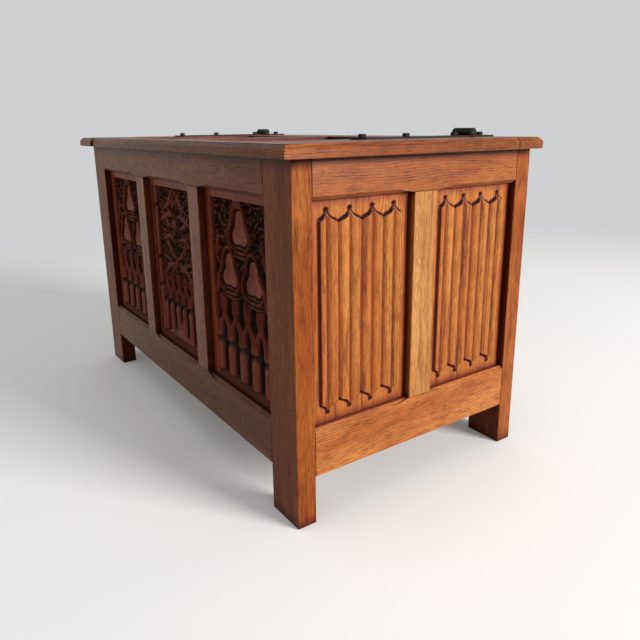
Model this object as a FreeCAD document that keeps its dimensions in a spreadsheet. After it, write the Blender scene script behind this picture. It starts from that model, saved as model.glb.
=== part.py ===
"""A joined oak coffer with linenfold ends, a carved front and a strap-hinged lid.

Millimetres, +Z up, X along the chest, the carved front faces -Y.
The origin is on the floor, in the middle of the chest's outline.
"""

import FreeCAD, Part
import Sketcher
import os
import re

doc = FreeCAD.newDocument("coffer")
sheet = doc.addObject("Spreadsheet::Sheet", "sizes")

DRIVING_SIZES = [
    # the case
    ("case_length", 963, "outside of the case along X"),
    ("case_depth", 515, "outside of the case along Y"),
    ("case_height", 581, "floor to the top of the posts"),
    ("post_width", 78, "post along X"),
    ("post_thickness", 35, "post along Y"),
    ("rail_thickness", 30, "rails and muntins, outside to inside"),
    ("top_rail_height", 60, "top rails"),
    ("bottom_rail_height", 82, "bottom rails"),
    ("floor_clearance", 83, "floor to the underside of the bottom rails"),
    ("front_muntin_width", 45, "muntins of the front and the back"),
    ("end_muntin_width", 50, "muntins of the ends"),
    ("arris", 1, "eased edge of the frame pieces"),
    ("rail_chamfer", 6, "stopped chamfer on a rail's edge above and below a panel"),
    ("chamfer_margin", 2, "plain edge left between a stopped chamfer and a muntin"),
    ("chamfer_runout", 36, "slope of a stopped chamfer beside a muntin"),
    # joints of the case
    ("panel_recess", 14, "frame face to the flat of a panel"),
    ("panel_thickness", 14, "panel behind its flat"),
    ("tongue_thickness", 8, "tenons, and the grooves that hold the panels"),
    ("groove_depth", 10, "depth of the panel grooves"),
    ("panel_gap", 0.5, "room left at the bottom of a groove or mortise"),
    ("joint_clearance", 0.1, "room on each cheek of a tenon or tongue"),
    ("haunch", 4, "shoulder above and below a tenon"),
    ("long_tenon", 40, "tenons of the front and back rails"),
    ("short_tenon", 22, "tenons of the end rails"),
    # linenfold of the end panels
    ("fold_pitch", 22, "width of one fold"),
    ("fold_radius", 18, "roundness of a fold"),
    ("fold_height", 6, "folds above the flat of the panel"),
    ("end_fold", 14, "the narrower fold at each side"),
    ("fold_margin", 17, "flat above and below the folds"),
    # carving of the front panels, sunk below their flat
    ("carved_thickness", 20, "front panels behind their flat"),
    ("carved_margin", 21.5, "flat at each side of the tracery"),
    ("head_margin", 17, "flat above the carving"),
    ("rib_rise", 18, "sill below the carving"),
    ("field_depth", 7, "flat to the ground of the carving"),
    ("light_depth", 10, "flat to the ground of the lights"),
    ("hood_sink", 2, "flat to the moulding round a light"),
    ("rib_sink", 1, "flat to the crest of a rib"),
    ("light_radius", 26, "pear-shaped lights of the tracery"),
    ("hood_width", 6, "moulding round a light"),
    ("light_spread", 43, "lower lights to the middle of the panel"),
    ("upper_light_drop", 66, "head of the opening to the upper light"),
    ("lower_light_drop", 147, "head of the opening to the lower lights"),
    ("rib_headroom", 54, "lower lights to the points of the ribs"),
    ("rib_pitch", 45, "ribs below the lights"),
    ("rib_radius", 40, "roundness of a rib"),
    ("slim_rib_pitch", 30, "ribs of the middle panel"),
    ("slim_rib_radius", 20, "roundness of a rib of the middle panel"),
    ("arch_radius", 38, "arch at the head of the middle panel"),
    ("arch_drop", 86, "head of the opening to the middle of that arch"),
    ("band_margin", 7, "flat beside the bands of the middle panel"),
    ("band_radius", 12, "fluted bands beside that arch"),
    # bottom
    ("bearer_size", 25, "square bearers inside the front and the back"),
    ("bearer_rise", 8, "underside of the bottom rails to the bearers"),
    ("board_thickness", 12, "bottom boards"),
    ("board_gap", 1, "room between the bottom boards, and round them"),
    ("screw_radius", 2.5, "bearer screws"),
    ("screw_length", 42, "bearer screws"),
    ("screw_head_radius", 5, "bearer screws"),
    ("screw_head", 3, "height of a screw's head"),
    ("screw_inset", 100, "end of a bearer to its first screw"),
    # top
    ("lid_thickness", 20, "lid and fixed strip"),
    ("lid_overhang", 26, "lid beyond the case at the front and the ends"),
    ("lid_chamfer", 7, "chamfer round the top"),
    ("strip_width", 64, "fixed strip along the back"),
    ("lid_gap", 1, "between the lid and the fixed strip"),
    ("cleat_width", 97, "end cleats of the lid"),
    ("cleat_proud", 5, "cleats in front of the lid's front rail"),
    ("lid_rail_width", 64, "front and back rails of the lid"),
    ("lid_stile_width", 68, "stiles of the lid, beside the cleats"),
    ("lid_muntin_width", 66, "middle muntin of the lid"),
    ("lid_panel_recess", 7, "lid's top to its panels"),
    ("lid_tongue", 6, "panels, tongues and grooves of the lid"),
    ("lid_groove", 9, "depth of the lid's grooves"),
    ("tongue_stop", 12, "front of the lid to the start of the cleat's groove"),
    ("dowel_radius", 4, "dowels under the fixed strip"),
    ("dowel_in_strip", 13, "dowel above the case"),
    ("dowel_in_rail", 20, "dowel below the top of the case"),
    ("dowel_inset", 150, "end of the case to the first dowel"),
    # hinges
    ("hinge_inset", 31, "inner edge of a cleat to the middle of a hinge"),
    ("leaf_thickness", 3, "hinge leaves"),
    ("barrel_radius", 8, "hinge barrel"),
    ("barrel_length", 46, "hinge barrel, and the width of the leaves beside it"),
    ("middle_knuckle", 22, "the strap's knuckle"),
    ("knuckle_gap", 0.4, "between knuckles, and between a knuckle and what passes it"),
    ("pin_radius", 4, "hinge pin"),
    ("pin_clearance", 0.05, "pin in its knuckles"),
    ("pin_head_radius", 5.5, "riveted ends of the pin"),
    ("pin_head", 1.5, "riveted ends of the pin"),
    ("strap_length", 265, "pin to the tip of the strap"),
    ("strap_neck", 26, "strap's width before its round end"),
    ("strap_shoulder", 40, "pin to the start of the strap's taper"),
    ("strap_end_radius", 20, "round end of the strap"),
    ("middle_bolt_reach", 147, "pin to the strap's middle bolt"),
    ("near_bolt_reach", 27, "pin to the strap's first bolt"),
    ("rear_leaf_length", 56, "pin to the end of the rear leaf"),
    ("rear_bolt_reach", 42, "pin to the rear leaf's bolt"),
    ("bolt_radius", 3, "hinge bolts"),
    ("bolt_depth", 14, "hinge bolt in the wood"),
    ("bolt_head_width", 10, "square bolt heads"),
    ("bolt_head", 6, "height of a bolt's head"),
    ("bolt_clearance", 0.1, "bolts, screws and dowels in their holes"),
]
for row, (alias, value, meaning) in enumerate(DRIVING_SIZES, start=1):
    sheet.set(f"A{row}", alias)
    sheet.set(f"B{row}", str(value))
    sheet.set(f"C{row}", meaning)
    sheet.setAlias(f"B{row}", alias)
doc.recompute()

ALIASES = {alias for alias, value, meaning in DRIVING_SIZES}
FRONT_PANELS = 3
END_PANELS = 2
BOTTOM_BOARDS = 7
SCREWS_PER_BEARER = 4
DOWELS = 4


def bound(text):
    """A formula on the sheet's names as an expression that reads the sheet."""
    return re.sub(r"[a-z_]+", lambda word: f"sizes.{word[0]}" if word[0] in ALIASES else word[0], text)


def part(kind, name):
    return doc.addObject(f"Part::{kind}", name)


def place(item, x, y, z, rotation=None):
    """Puts an item at a place given by formulas."""
    if rotation is not None:
        item.Placement = FreeCAD.Placement(FreeCAD.Vector(), rotation)
    for axis, formula in zip("xyz", (x, y, z)):
        item.setExpression(f"Placement.Base.{axis}", bound(formula))
    return item


def block(name, x, y, z):
    """A square block between the low and high formula of each axis."""
    item = part("Box", name)
    for side, (low, high) in zip(("Length", "Width", "Height"), (x, y, z)):
        item.setExpression(side, bound(f"({high}) - ({low})"))
    return place(item, x[0], y[0], z[0])


def rod(name, radius, length, x, y, z, rotation=None):
    """A round rod that starts at a place and runs up, or along another axis once turned."""
    item = part("Cylinder", name)
    item.setExpression("Radius", bound(radius))
    item.setExpression("Height", bound(length))
    return place(item, x, y, z, rotation)


def union(name, pieces):
    if len(pieces) == 1:
        return pieces[0]
    item = part("MultiFuse", name)
    item.Shapes = pieces
    return item


def cut(name, pieces, tools):
    """The pieces joined into one, less the tools."""
    whole = union(f"{name}_whole", pieces)
    if not tools:
        return whole
    item = part("Cut", name)
    item.Base = whole
    item.Tool = union(f"{name}_tools", tools)
    return item


def eased(item, chamfered=lambda low, high, point: False, size="arris"):
    """A block with every edge eased, and the chosen edges chamfered by a larger size."""
    doc.recompute()
    outline = item.Shape.BoundBox
    low = FreeCAD.Vector(outline.XMin, outline.YMin, outline.ZMin)
    high = FreeCAD.Vector(outline.XMax, outline.YMax, outline.ZMax)
    ease, deep = sheet.arris, getattr(sheet, size)
    edges = []
    for number, edge in enumerate(item.Shape.Edges, start=1):
        width = deep if chamfered(low, high, edge.CenterOfMass) else ease
        edges.append((number, width, width))
    chamfer = part("Chamfer", f"{item.Name}_eased")
    chamfer.Base = item
    chamfer.Edges = edges
    return chamfer


sub_parts = []


def finished(item, label):
    """Keeps an item as one of the chest's sub-parts, under its own label."""
    item.Label = label
    sub_parts.append(item)
    return item


def plus(*terms):
    return " + ".join(f"({term})" for term in terms)


def minus(first, *terms):
    return " - ".join(f"({term})" for term in (first, *terms))


# Main planes of the chest
END_FACE = "case_length / 2"
CASE_FRONT = "(lid_overhang - case_depth) / 2"
CASE_BACK = "(lid_overhang + case_depth) / 2"
CASE_MIDDLE = "lid_overhang / 2"
SILL = "floor_clearance + bottom_rail_height"
HEAD = "case_height - top_rail_height"
TENON_CHEEKS = ("panel_recess + joint_clearance", "panel_recess + tongue_thickness - joint_clearance")
GROOVE_CHEEKS = ("panel_recess", "panel_recess + tongue_thickness")
TENON_INSET = "groove_depth + haunch"


class Wall:
    """One framed side of the case, measured along it from its middle, inward from its face, and up."""

    def __init__(self, name, panels):
        self.name = name
        self.panels = panels
        self.long = name in ("front", "back")
        self.half = f"{END_FACE} - post_width" if self.long else "case_depth / 2 - post_thickness"
        self.muntin = "front_muntin_width" if self.long else "end_muntin_width"
        self.tenon = "long_tenon" if self.long else "short_tenon"
        self.opening = f"(2 * ({self.half}) - {panels - 1} * {self.muntin}) / {panels}"

    def inward(self, span):
        low, high = span
        if self.name == "front":
            return plus(CASE_FRONT, low), plus(CASE_FRONT, high)
        if self.name == "back":
            return minus(CASE_BACK, high), minus(CASE_BACK, low)
        if self.name == "right":
            return minus(END_FACE, high), minus(END_FACE, low)
        return minus(low, END_FACE), minus(high, END_FACE)

    def along(self, span):
        return span if self.long else tuple(plus(CASE_MIDDLE, end) for end in span)

    def spans(self, along, inward, up):
        """The x, y and z spans of a block on this wall."""
        if self.long:
            return self.along(along), self.inward(inward), up
        return self.inward(inward), self.along(along), up

    def block(self, name, along, inward, up):
        return block(name, *self.spans(along, inward, up))

    def point(self, along, inward, up):
        x, y, z = self.spans((along, along), (inward, inward), (up, up))
        return x[0], y[0], z[0]

    def direction(self):
        return FreeCAD.Vector(1, 0, 0) if self.long else FreeCAD.Vector(0, 1, 0)

    def outward(self):
        normals = {"front": (0, -1, 0), "back": (0, 1, 0), "right": (1, 0, 0), "left": (-1, 0, 0)}
        return FreeCAD.Vector(*normals[self.name])

    def facing(self, up):
        """The turn that sets an item's Z outward and its Y along the given up or down vector."""
        out = self.outward()
        side = up.cross(out)
        return FreeCAD.Rotation(side, up, out, "ZXY")

    def gap(self, index):
        """The low and high edge of one panel's opening, along the wall."""
        low = f"{index} * ({self.opening} + {self.muntin}) - ({self.half})"
        return low, plus(low, self.opening)

    def middle(self, index):
        low, high = self.gap(index)
        return f"(({low}) + ({high})) / 2"


UP = FreeCAD.Vector(0, 0, 1)
DOWN = FreeCAD.Vector(0, 0, -1)
WALLS = [
    Wall("front", FRONT_PANELS),
    Wall("back", FRONT_PANELS),
    Wall("left", END_PANELS),
    Wall("right", END_PANELS),
]
RAILS = {
    "top_rail": (HEAD, "case_height"),
    "bottom_rail": ("floor_clearance", SILL),
}


def tenon_up(rail, clearance="0"):
    """Low and high edge of a rail's tenon, or of its mortise with some clearance."""
    low, high = RAILS[rail]
    low_inset, high_inset = (TENON_INSET, "haunch") if rail == "top_rail" else ("haunch", TENON_INSET)
    return minus(plus(low, low_inset), clearance), plus(minus(high, high_inset), clearance)


def stopped_chamfer(wall, name, index, edge, direction):
    """The wedge that takes the arris off a rail along one panel. It slopes out beside a muntin."""
    item = part("Wedge", name)
    half = f"({wall.opening}) / 2"
    sense = direction.cross(wall.outward()).dot(wall.direction())
    for end, sign in (("min", -1), ("max", 1)):
        beside_muntin = 0 <= index + round(sign * sense) < wall.panels
        margin, runout = ("chamfer_margin", "chamfer_runout") if beside_muntin else ("0", "0")
        item.setExpression(f"X{end}", bound(f"{sign} * ({minus(half, margin)})"))
        item.setExpression(f"X2{end}", bound(f"{sign} * ({minus(half, margin, runout)})"))
    item.Ymin = 0
    item.setExpression("Ymax", bound("rail_chamfer"))
    item.setExpression("Zmin", bound("-1 * rail_chamfer"))
    item.Zmax = 0
    item.Z2min = 0
    item.Z2max = 0
    return place(item, *wall.point(wall.middle(index), "0", edge), wall.facing(direction))


def rail(wall, kind):
    """A rail with a tenon at each end, a groove for the panels and stopped chamfers."""
    name = f"{wall.name}_{kind}"
    low, high = RAILS[kind]
    board = wall.block(f"{name}_board", (f"-1 * ({wall.half})", wall.half), ("0", "rail_thickness"), (low, high))
    solids = [eased(board)]
    tenon_root = f"{wall.half} - rail_thickness"
    for sign in ("-1", "1"):
        ends = [f"{sign} * ({tenon_root})", f"{sign} * ({plus(wall.half, wall.tenon)})"]
        if sign == "-1":
            ends.reverse()
        solids.append(wall.block(f"{name}_tenon", ends, TENON_CHEEKS, tenon_up(kind)))
    if kind == "top_rail":
        groove_up, edge, direction = (low, plus(low, "groove_depth")), low, UP
    else:
        groove_up, edge, direction = (minus(high, "groove_depth"), high), high, DOWN
    tools = [wall.block(f"{name}_groove", (f"-1 * ({wall.half})", wall.half), GROOVE_CHEEKS, groove_up)]
    for index in range(wall.panels):
        tools.append(stopped_chamfer(wall, f"{name}_chamfer", index, edge, direction))
    return solids, tools


def muntin(wall, index):
    """An upright between two panels, with a stub tenon in the groove of each rail."""
    name = f"{wall.name}_muntin_{index}"
    low, high = wall.gap(index - 1)[1], wall.gap(index)[0]
    solids = [eased(wall.block(f"{name}_board", (low, high), ("0", "rail_thickness"), (SILL, HEAD)))]
    stub = (minus(plus(SILL, "panel_gap"), "groove_depth"), minus(plus(HEAD, "groove_depth"), "panel_gap"))
    core = (plus(low, "groove_depth"), minus(high, "groove_depth"))
    solids.append(wall.block(f"{name}_tenon", core, TENON_CHEEKS, stub))
    tools = []
    for side in ((low, core[0]), (core[1], high)):
        tools.append(wall.block(f"{name}_groove", side, GROOVE_CHEEKS, (SILL, HEAD)))
    return cut(name, solids, tools)


def panel_board(wall, index, name, thickness="panel_thickness"):
    """A panel's flat board: a thick middle, and a thin tongue all round that sits in the grooves."""
    low, high = wall.gap(index)
    reach = "groove_depth - panel_gap"
    tongue = wall.block(
        f"{name}_tongue", (minus(low, reach), plus(high, reach)), TENON_CHEEKS, (minus(SILL, reach), plus(HEAD, reach))
    )
    middle = wall.block(
        f"{name}_middle",
        (plus(low, "panel_gap"), minus(high, "panel_gap")),
        ("panel_recess + joint_clearance", plus("panel_recess", thickness)),
        (plus(SILL, "panel_gap"), minus(HEAD, "panel_gap")),
    )
    return [tongue, middle]


def rounded_ribs(wall, name, centres, radius, heights, across, up):
    """Upright ribs, each the crest of a large cylinder, from a crest to a base, two sides and two levels."""
    crest = heights[0]
    rods = []
    for centre in centres:
        start = wall.point(centre, plus(crest, radius), up[0])
        rods.append(rod(f"{name}_rod", radius, minus(up[1], up[0]), *start))
    limit = wall.block(f"{name}_limit", across, heights, up)
    item = part("MultiCommon", f"{name}_ribs")
    item.Shapes = [union(f"{name}_rods", rods), limit]
    return item


def diamond(wall, name, along, up, half_width, inward):
    """A square bar set on its corner, that runs inward through a panel's carving."""
    item = part("Box", name)
    side = f"({half_width}) * sqrt(2)"
    item.setExpression("Length", bound(side))
    item.setExpression("Width", bound(side))
    item.setExpression("Height", bound(minus(inward[1], inward[0])))
    turn = wall.facing(UP).multiply(FreeCAD.Rotation(UP, 45))
    return place(item, *wall.point(along, inward[1], minus(up, half_width)), turn)


def pear(wall, name, along, up, radius, inward):
    """A pear shape, round below and pointed above, that runs inward."""
    turn = wall.facing(UP)
    round_part = rod(f"{name}_round", radius, minus(inward[1], inward[0]), *wall.point(along, inward[1], up), turn)
    half = f"({radius}) / sqrt(2)"
    point = diamond(wall, f"{name}_point", along, plus(up, half), half, inward)
    return union(name, [round_part, point])


def linenfold_panel(wall, index):
    """An end panel with upright folds whose ends are cut to points."""
    name = f"{wall.name}_panel_{index + 1}"
    middle = wall.middle(index)
    low, high = plus(SILL, "fold_margin"), minus(HEAD, "fold_margin")
    half = "3 * fold_pitch + end_fold"
    folds = rounded_ribs(
        wall,
        name,
        [f"{middle} + ({step}) * fold_pitch" for step in (-3.5, -2.5, -1.5, -0.5, 0.5, 1.5, 2.5, 3.5)],
        "fold_radius",
        (minus("panel_recess", "fold_height"), "panel_recess + 2 * joint_clearance"),
        (minus(middle, half), plus(middle, half)),
        (low, high),
    )
    depth = (minus("panel_recess", "2 * fold_height"), "panel_recess + joint_clearance")
    notches = []
    for level in (low, high):
        for step in (-4, -2, 0, 2, 4):
            along = f"{middle} + ({step}) * fold_pitch"
            notches.append(diamond(wall, f"{name}_notch", along, level, "fold_pitch", depth))
    carved = cut(f"{name}_folds", [folds], notches)
    return union(name, panel_board(wall, index, name) + [carved])


CARVED_LEVELS = (plus(SILL, "rib_rise"), minus(HEAD, "head_margin"))
FIELD_BASE = "panel_recess + field_depth + joint_clearance"
HOOD_HEIGHTS = ("panel_recess + hood_sink", FIELD_BASE)
RIB_HEIGHTS = ("panel_recess + rib_sink", FIELD_BASE)
LIGHT_HEIGHTS = ("panel_recess", "panel_recess + light_depth")


def sunk_board(wall, index, name, half):
    """A front panel's board with the ground of its carving cut back."""
    middle = wall.middle(index)
    across = (minus(middle, half), plus(middle, half))
    field = wall.block(f"{name}_field", across, ("0", "panel_recess + field_depth"), CARVED_LEVELS)
    return cut(f"{name}_sunk", panel_board(wall, index, name, "carved_thickness"), [field])


def pointed_ribs(wall, name, middle, steps, pitch, radius, half):
    """A row of upright ribs whose heads are cut to points."""
    foot = CARVED_LEVELS[0]
    point = minus(HEAD, "lower_light_drop", "rib_headroom")
    centres = [f"{middle} + ({step}) * {pitch}" for step in steps]
    across = (minus(middle, half), plus(middle, half))
    ribs = rounded_ribs(wall, name, centres, radius, RIB_HEIGHTS, across, (foot, point))
    notches = []
    for step in [steps[0] - 0.5] + [step + 0.5 for step in steps]:
        along = f"{middle} + ({step}) * {pitch}"
        notches.append(diamond(wall, f"{name}_notch", along, point, f"{pitch} / 2", ("0", FIELD_BASE)))
    return cut(f"{name}_pointed", [ribs], notches)


def tracery_panel(wall, index):
    """A front panel with pear-shaped lights above upright ribs."""
    name = f"{wall.name}_panel_{index + 1}"
    middle = wall.middle(index)
    half = minus(f"({wall.opening}) / 2", "carved_margin")
    lights = [
        (middle, minus(HEAD, "upper_light_drop")),
        (minus(middle, "light_spread"), minus(HEAD, "lower_light_drop")),
        (plus(middle, "light_spread"), minus(HEAD, "lower_light_drop")),
    ]
    hoods = [pear(wall, f"{name}_hood", *light, "light_radius + hood_width", HOOD_HEIGHTS) for light in lights]
    grounds = [pear(wall, f"{name}_light", *light, "light_radius", LIGHT_HEIGHTS) for light in lights]
    ribs = pointed_ribs(wall, name, middle, (-2, -1, 0, 1, 2), "rib_pitch", "rib_radius", half)
    return cut(name, [sunk_board(wall, index, name, half), *hoods, ribs], grounds)


def arched_panel(wall, index):
    """The middle front panel: a large pear-shaped arch between fluted bands, above upright ribs."""
    name = f"{wall.name}_panel_{index + 1}"
    middle = wall.middle(index)
    half = minus(f"({wall.opening}) / 2", "band_margin")
    arch = (middle, minus(HEAD, "arch_drop"))
    hood = pear(wall, f"{name}_hood", *arch, "arch_radius + hood_width", HOOD_HEIGHTS)
    ground = pear(wall, f"{name}_ground", *arch, "arch_radius", LIGHT_HEIGHTS)
    bands = []
    for side in (-1, 1):
        centre = plus(middle, f"({side}) * ({minus(half, 'band_radius')})")
        across = (minus(centre, "band_radius"), plus(centre, "band_radius"))
        label = f"{name}_band_{side + 1}"
        bands.append(rounded_ribs(wall, label, [centre], "band_radius", RIB_HEIGHTS, across, CARVED_LEVELS))
    inner = minus(half, "2 * band_radius")
    ribs = pointed_ribs(wall, name, middle, (-2, -1, 0, 1, 2), "slim_rib_pitch", "slim_rib_radius", inner)
    return cut(name, [sunk_board(wall, index, name, half), *bands, hood, ribs], [ground])


def plain_panel(wall, index):
    name = f"{wall.name}_panel_{index + 1}"
    return union(name, panel_board(wall, index, name))


def post(side, wall, end_wall):
    """A corner post with mortises for two pairs of rails and grooves for two panels."""
    name = f"{wall.name}_{side}_post"
    low, high = minus(END_FACE, "post_width"), END_FACE
    x = (low, high) if side == "right" else (f"-1 * ({high})", f"-1 * ({low})")
    body = eased(block(f"{name}_board", x, wall.inward(("0", "post_thickness")), ("0", "case_height")))
    tools = []
    for frame, sign in ((wall, 1 if side == "right" else -1), (end_wall, -1 if wall.name == "front" else 1)):
        for kind in RAILS:
            span = reaching(frame, sign, plus(frame.tenon, "panel_gap"))
            levels = tenon_up(kind, "joint_clearance")
            tools.append(frame.block(f"{name}_mortise", span, GROOVE_CHEEKS, levels))
        span = reaching(frame, sign, "groove_depth")
        levels = (minus(SILL, "groove_depth"), plus(HEAD, "groove_depth"))
        tools.append(frame.block(f"{name}_groove", span, GROOVE_CHEEKS, levels))
    return cut(name, [body], tools)


def reaching(frame, sign, reach):
    """A span along a wall from its end into the post beside it."""
    near, far = frame.half, plus(frame.half, reach)
    return (near, far) if sign > 0 else (f"-1 * ({far})", f"-1 * ({near})")


# Holes that the fixings need in the rails
FRONT_WALL, BACK_WALL, LEFT_WALL, RIGHT_WALL = WALLS
BEARER_LOW = "floor_clearance + bearer_rise"
SCREW_SPREAD = f"2 * ({END_FACE} - post_width - screw_inset)"
DOWEL_SPREAD = f"2 * ({END_FACE} - dowel_inset)"
SCREW_STEPS = [number / (SCREWS_PER_BEARER - 1) - 0.5 for number in range(SCREWS_PER_BEARER)]
DOWEL_STEPS = [number / (DOWELS - 1) - 0.5 for number in range(DOWELS)]


def screw_axis(wall, step, inward):
    return wall.point(f"({step}) * {SCREW_SPREAD}", inward, f"{BEARER_LOW} + bearer_size / 2")


def screw_holes(wall, name):
    """Holes for one bearer's screws, from the bearer's inner face into the rail."""
    inner = "rail_thickness + bearer_size"
    return [
        rod(
            f"{name}_hole",
            "screw_radius + bolt_clearance",
            "screw_length + panel_gap",
            *screw_axis(wall, step, inner),
            FreeCAD.Rotation(UP, wall.outward()),
        )
        for step in SCREW_STEPS
    ]


def dowel_holes(name):
    return [
        rod(
            f"{name}_dowel_hole",
            "dowel_radius + bolt_clearance",
            "dowel_in_rail + dowel_in_strip + 2 * panel_gap",
            f"({step}) * {DOWEL_SPREAD}",
            f"{CASE_BACK} - rail_thickness / 2",
            "case_height - dowel_in_rail - panel_gap",
        )
        for step in DOWEL_STEPS
    ]


# The framed case
for side in ("left", "right"):
    for wall in (FRONT_WALL, BACK_WALL):
        end_wall = LEFT_WALL if side == "left" else RIGHT_WALL
        finished(post(side, wall, end_wall), f"{wall.name}_{side}_post")

PANEL_MAKERS = {
    "front": [tracery_panel, arched_panel, tracery_panel],
    "back": [plain_panel, plain_panel, plain_panel],
    "left": [linenfold_panel, linenfold_panel],
    "right": [linenfold_panel, linenfold_panel],
}
for wall in WALLS:
    for kind in RAILS:
        name = f"{wall.name}_{kind}"
        solids, tools = rail(wall, kind)
        if kind == "bottom_rail" and wall.long:
            tools += screw_holes(wall, name)
        if name == "back_top_rail":
            tools += dowel_holes(name)
        finished(cut(name, solids, tools), name)
    for index in range(1, wall.panels):
        finished(muntin(wall, index), f"{wall.name}_muntin_{index}")
    for index, maker in enumerate(PANEL_MAKERS[wall.name]):
        finished(maker(wall, index), f"{wall.name}_panel_{index + 1}")

# The bottom: bearers screwed to the long bottom rails, and loose boards on them
screws = []
for wall in (FRONT_WALL, BACK_WALL):
    name = f"{wall.name}_bearer"
    bar = wall.block(
        f"{name}_bar",
        (f"-1 * ({wall.half})", wall.half),
        ("rail_thickness", "rail_thickness + bearer_size"),
        (BEARER_LOW, f"{BEARER_LOW} + bearer_size"),
    )
    finished(cut(name, [eased(bar)], screw_holes(wall, name)), name)
    for step in SCREW_STEPS:
        inner = "rail_thickness + bearer_size"
        outward = FreeCAD.Rotation(UP, wall.outward())
        shank = rod("screw_shank", "screw_radius", "screw_length", *screw_axis(wall, step, inner), outward)
        head_place = screw_axis(wall, step, f"{inner} + screw_head")
        head = rod("screw_top", "screw_head_radius", "screw_head", *head_place, outward)
        screws.append(union("bearer_screw", [shank, head]))
bearer_screws = part("Compound", "bearer_screws")
bearer_screws.Links = screws
finished(bearer_screws, "bearer_screws")

BOARD_LOW = f"{BEARER_LOW} + bearer_size"
FLOOR_HALF = f"{END_FACE} - rail_thickness - board_gap"
BOARD_PITCH = f"2 * ({FLOOR_HALF}) / {BOTTOM_BOARDS}"
for index in range(BOTTOM_BOARDS):
    name = f"bottom_board_{index + 1}"
    left_edge = f"{index} * {BOARD_PITCH} - ({FLOOR_HALF})"
    x = (f"{left_edge} + board_gap / 2", f"{left_edge} + {BOARD_PITCH} - board_gap / 2")
    y = (f"{CASE_FRONT} + rail_thickness + board_gap", f"{CASE_BACK} - rail_thickness - board_gap")
    z = (BOARD_LOW, f"{BOARD_LOW} + board_thickness")
    board = block(f"{name}_board", x, y, z)
    corners = []
    if index in (0, BOTTOM_BOARDS - 1):
        inner = minus(END_FACE, "post_width", "board_gap")
        side_x = (inner, END_FACE) if index else (f"-1 * ({END_FACE})", f"-1 * ({inner})")
        for wall in (FRONT_WALL, BACK_WALL):
            corner_y = wall.inward(("0", "post_thickness + board_gap"))
            corners.append(block(f"{name}_notch", side_x, corner_y, z))
    finished(cut(name, [board], corners), name)

# The top: a fixed strip at the back
LID_END = f"{END_FACE} + lid_overhang"
HINGE_X = f"{LID_END} - cleat_width - hinge_inset"
LID_FRONT = "-1 * (case_depth + lid_overhang) / 2"
STRIP_FRONT = f"{CASE_BACK} - strip_width"
LID_BACK = f"{STRIP_FRONT} - lid_gap"
LID_LEVELS = ("case_height", "case_height + lid_thickness")
LID_TOP = "case_height + lid_thickness"
NEAR = 0.01


def top_edge_at_end_or_back(low, high, point):
    at_top = abs(point.z - high.z) < NEAR
    return at_top and (abs(point.x - low.x) < NEAR or abs(point.x - high.x) < NEAR or abs(point.y - high.y) < NEAR)


def hinge_bolt_places(reaches, direction):
    """Where bolts go through the leaves of both hinges, at distances from the pin."""
    return [
        (f"{sign} * ({HINGE_X})", f"{PIN_Y} + ({direction}) * ({reach})")
        for sign in (-1, 1)
        for reach in reaches
    ]


PIN_Y = f"{STRIP_FRONT} - lid_gap / 2"
PIN_Z = f"{LID_TOP} + barrel_radius + knuckle_gap"
STRAP_END_REACH = "strap_length - strap_end_radius"
STRAP_BOLTS = [STRAP_END_REACH, "middle_bolt_reach", "near_bolt_reach"]
REAR_BOLTS = ["rear_bolt_reach"]


def bolt_holes(name, reaches, direction):
    """Holes in the wood for the bolts of both hinges."""
    return [
        rod(
            f"{name}_bolt_hole",
            "bolt_radius + bolt_clearance",
            "bolt_depth + 2 * panel_gap",
            x,
            y,
            f"{LID_TOP} - bolt_depth - panel_gap",
        )
        for x, y in hinge_bolt_places(reaches, direction)
    ]


strip = block("fixed_strip_board", (f"-1 * ({LID_END})", LID_END), (STRIP_FRONT, CASE_BACK), LID_LEVELS)
strip_board = eased(strip, top_edge_at_end_or_back, "lid_chamfer")
strip_holes = dowel_holes("fixed_strip") + bolt_holes("fixed_strip", REAR_BOLTS, 1)
finished(cut("fixed_back_strip", [strip_board], strip_holes), "fixed_back_strip")

dowels = part("Compound", "strip_dowels")
dowels.Links = [
    rod(
        "strip_dowel",
        "dowel_radius",
        "dowel_in_rail + dowel_in_strip",
        f"({step}) * {DOWEL_SPREAD}",
        f"{CASE_BACK} - rail_thickness / 2",
        "case_height - dowel_in_rail",
    )
    for step in DOWEL_STEPS
]
finished(dowels, "strip_dowels")

# The lid: a frame with two sunk panels between end cleats
FRAME_END = f"{LID_END} - cleat_width"
FRAME_FRONT = f"{LID_FRONT} + cleat_proud"
RAIL_INSIDE = f"{FRAME_FRONT} + lid_rail_width"
BACK_RAIL_INSIDE = f"{LID_BACK} - lid_rail_width"
STILE_INSIDE = f"{FRAME_END} - lid_stile_width"
MUNTIN_HALF = "lid_muntin_width / 2"
LID_GROOVE_LEVELS = (f"{LID_TOP} - lid_panel_recess - lid_tongue", f"{LID_TOP} - lid_panel_recess")
LID_TONGUE_LEVELS = (f"{LID_GROOVE_LEVELS[0]} + joint_clearance", f"{LID_GROOVE_LEVELS[1]} - joint_clearance")
LID_REACH = "lid_groove - panel_gap"
TONGUE_FRONT = f"{FRAME_FRONT} + tongue_stop"


def mirrored(span, sign):
    low, high = span
    return (low, high) if sign > 0 else (f"-1 * ({high})", f"-1 * ({low})")


def cleat_edge(low, high, point):
    """The top edges at the chest's end and at the front of a cleat."""
    outer = high.x if high.x > -low.x else low.x
    at_top = abs(point.z - high.z) < NEAR
    return at_top and (abs(point.x - outer) < NEAR or abs(point.y - low.y) < NEAR)


def front_top_edge(low, high, point):
    return abs(point.z - high.z) < NEAR and abs(point.y - low.y) < NEAR


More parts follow.
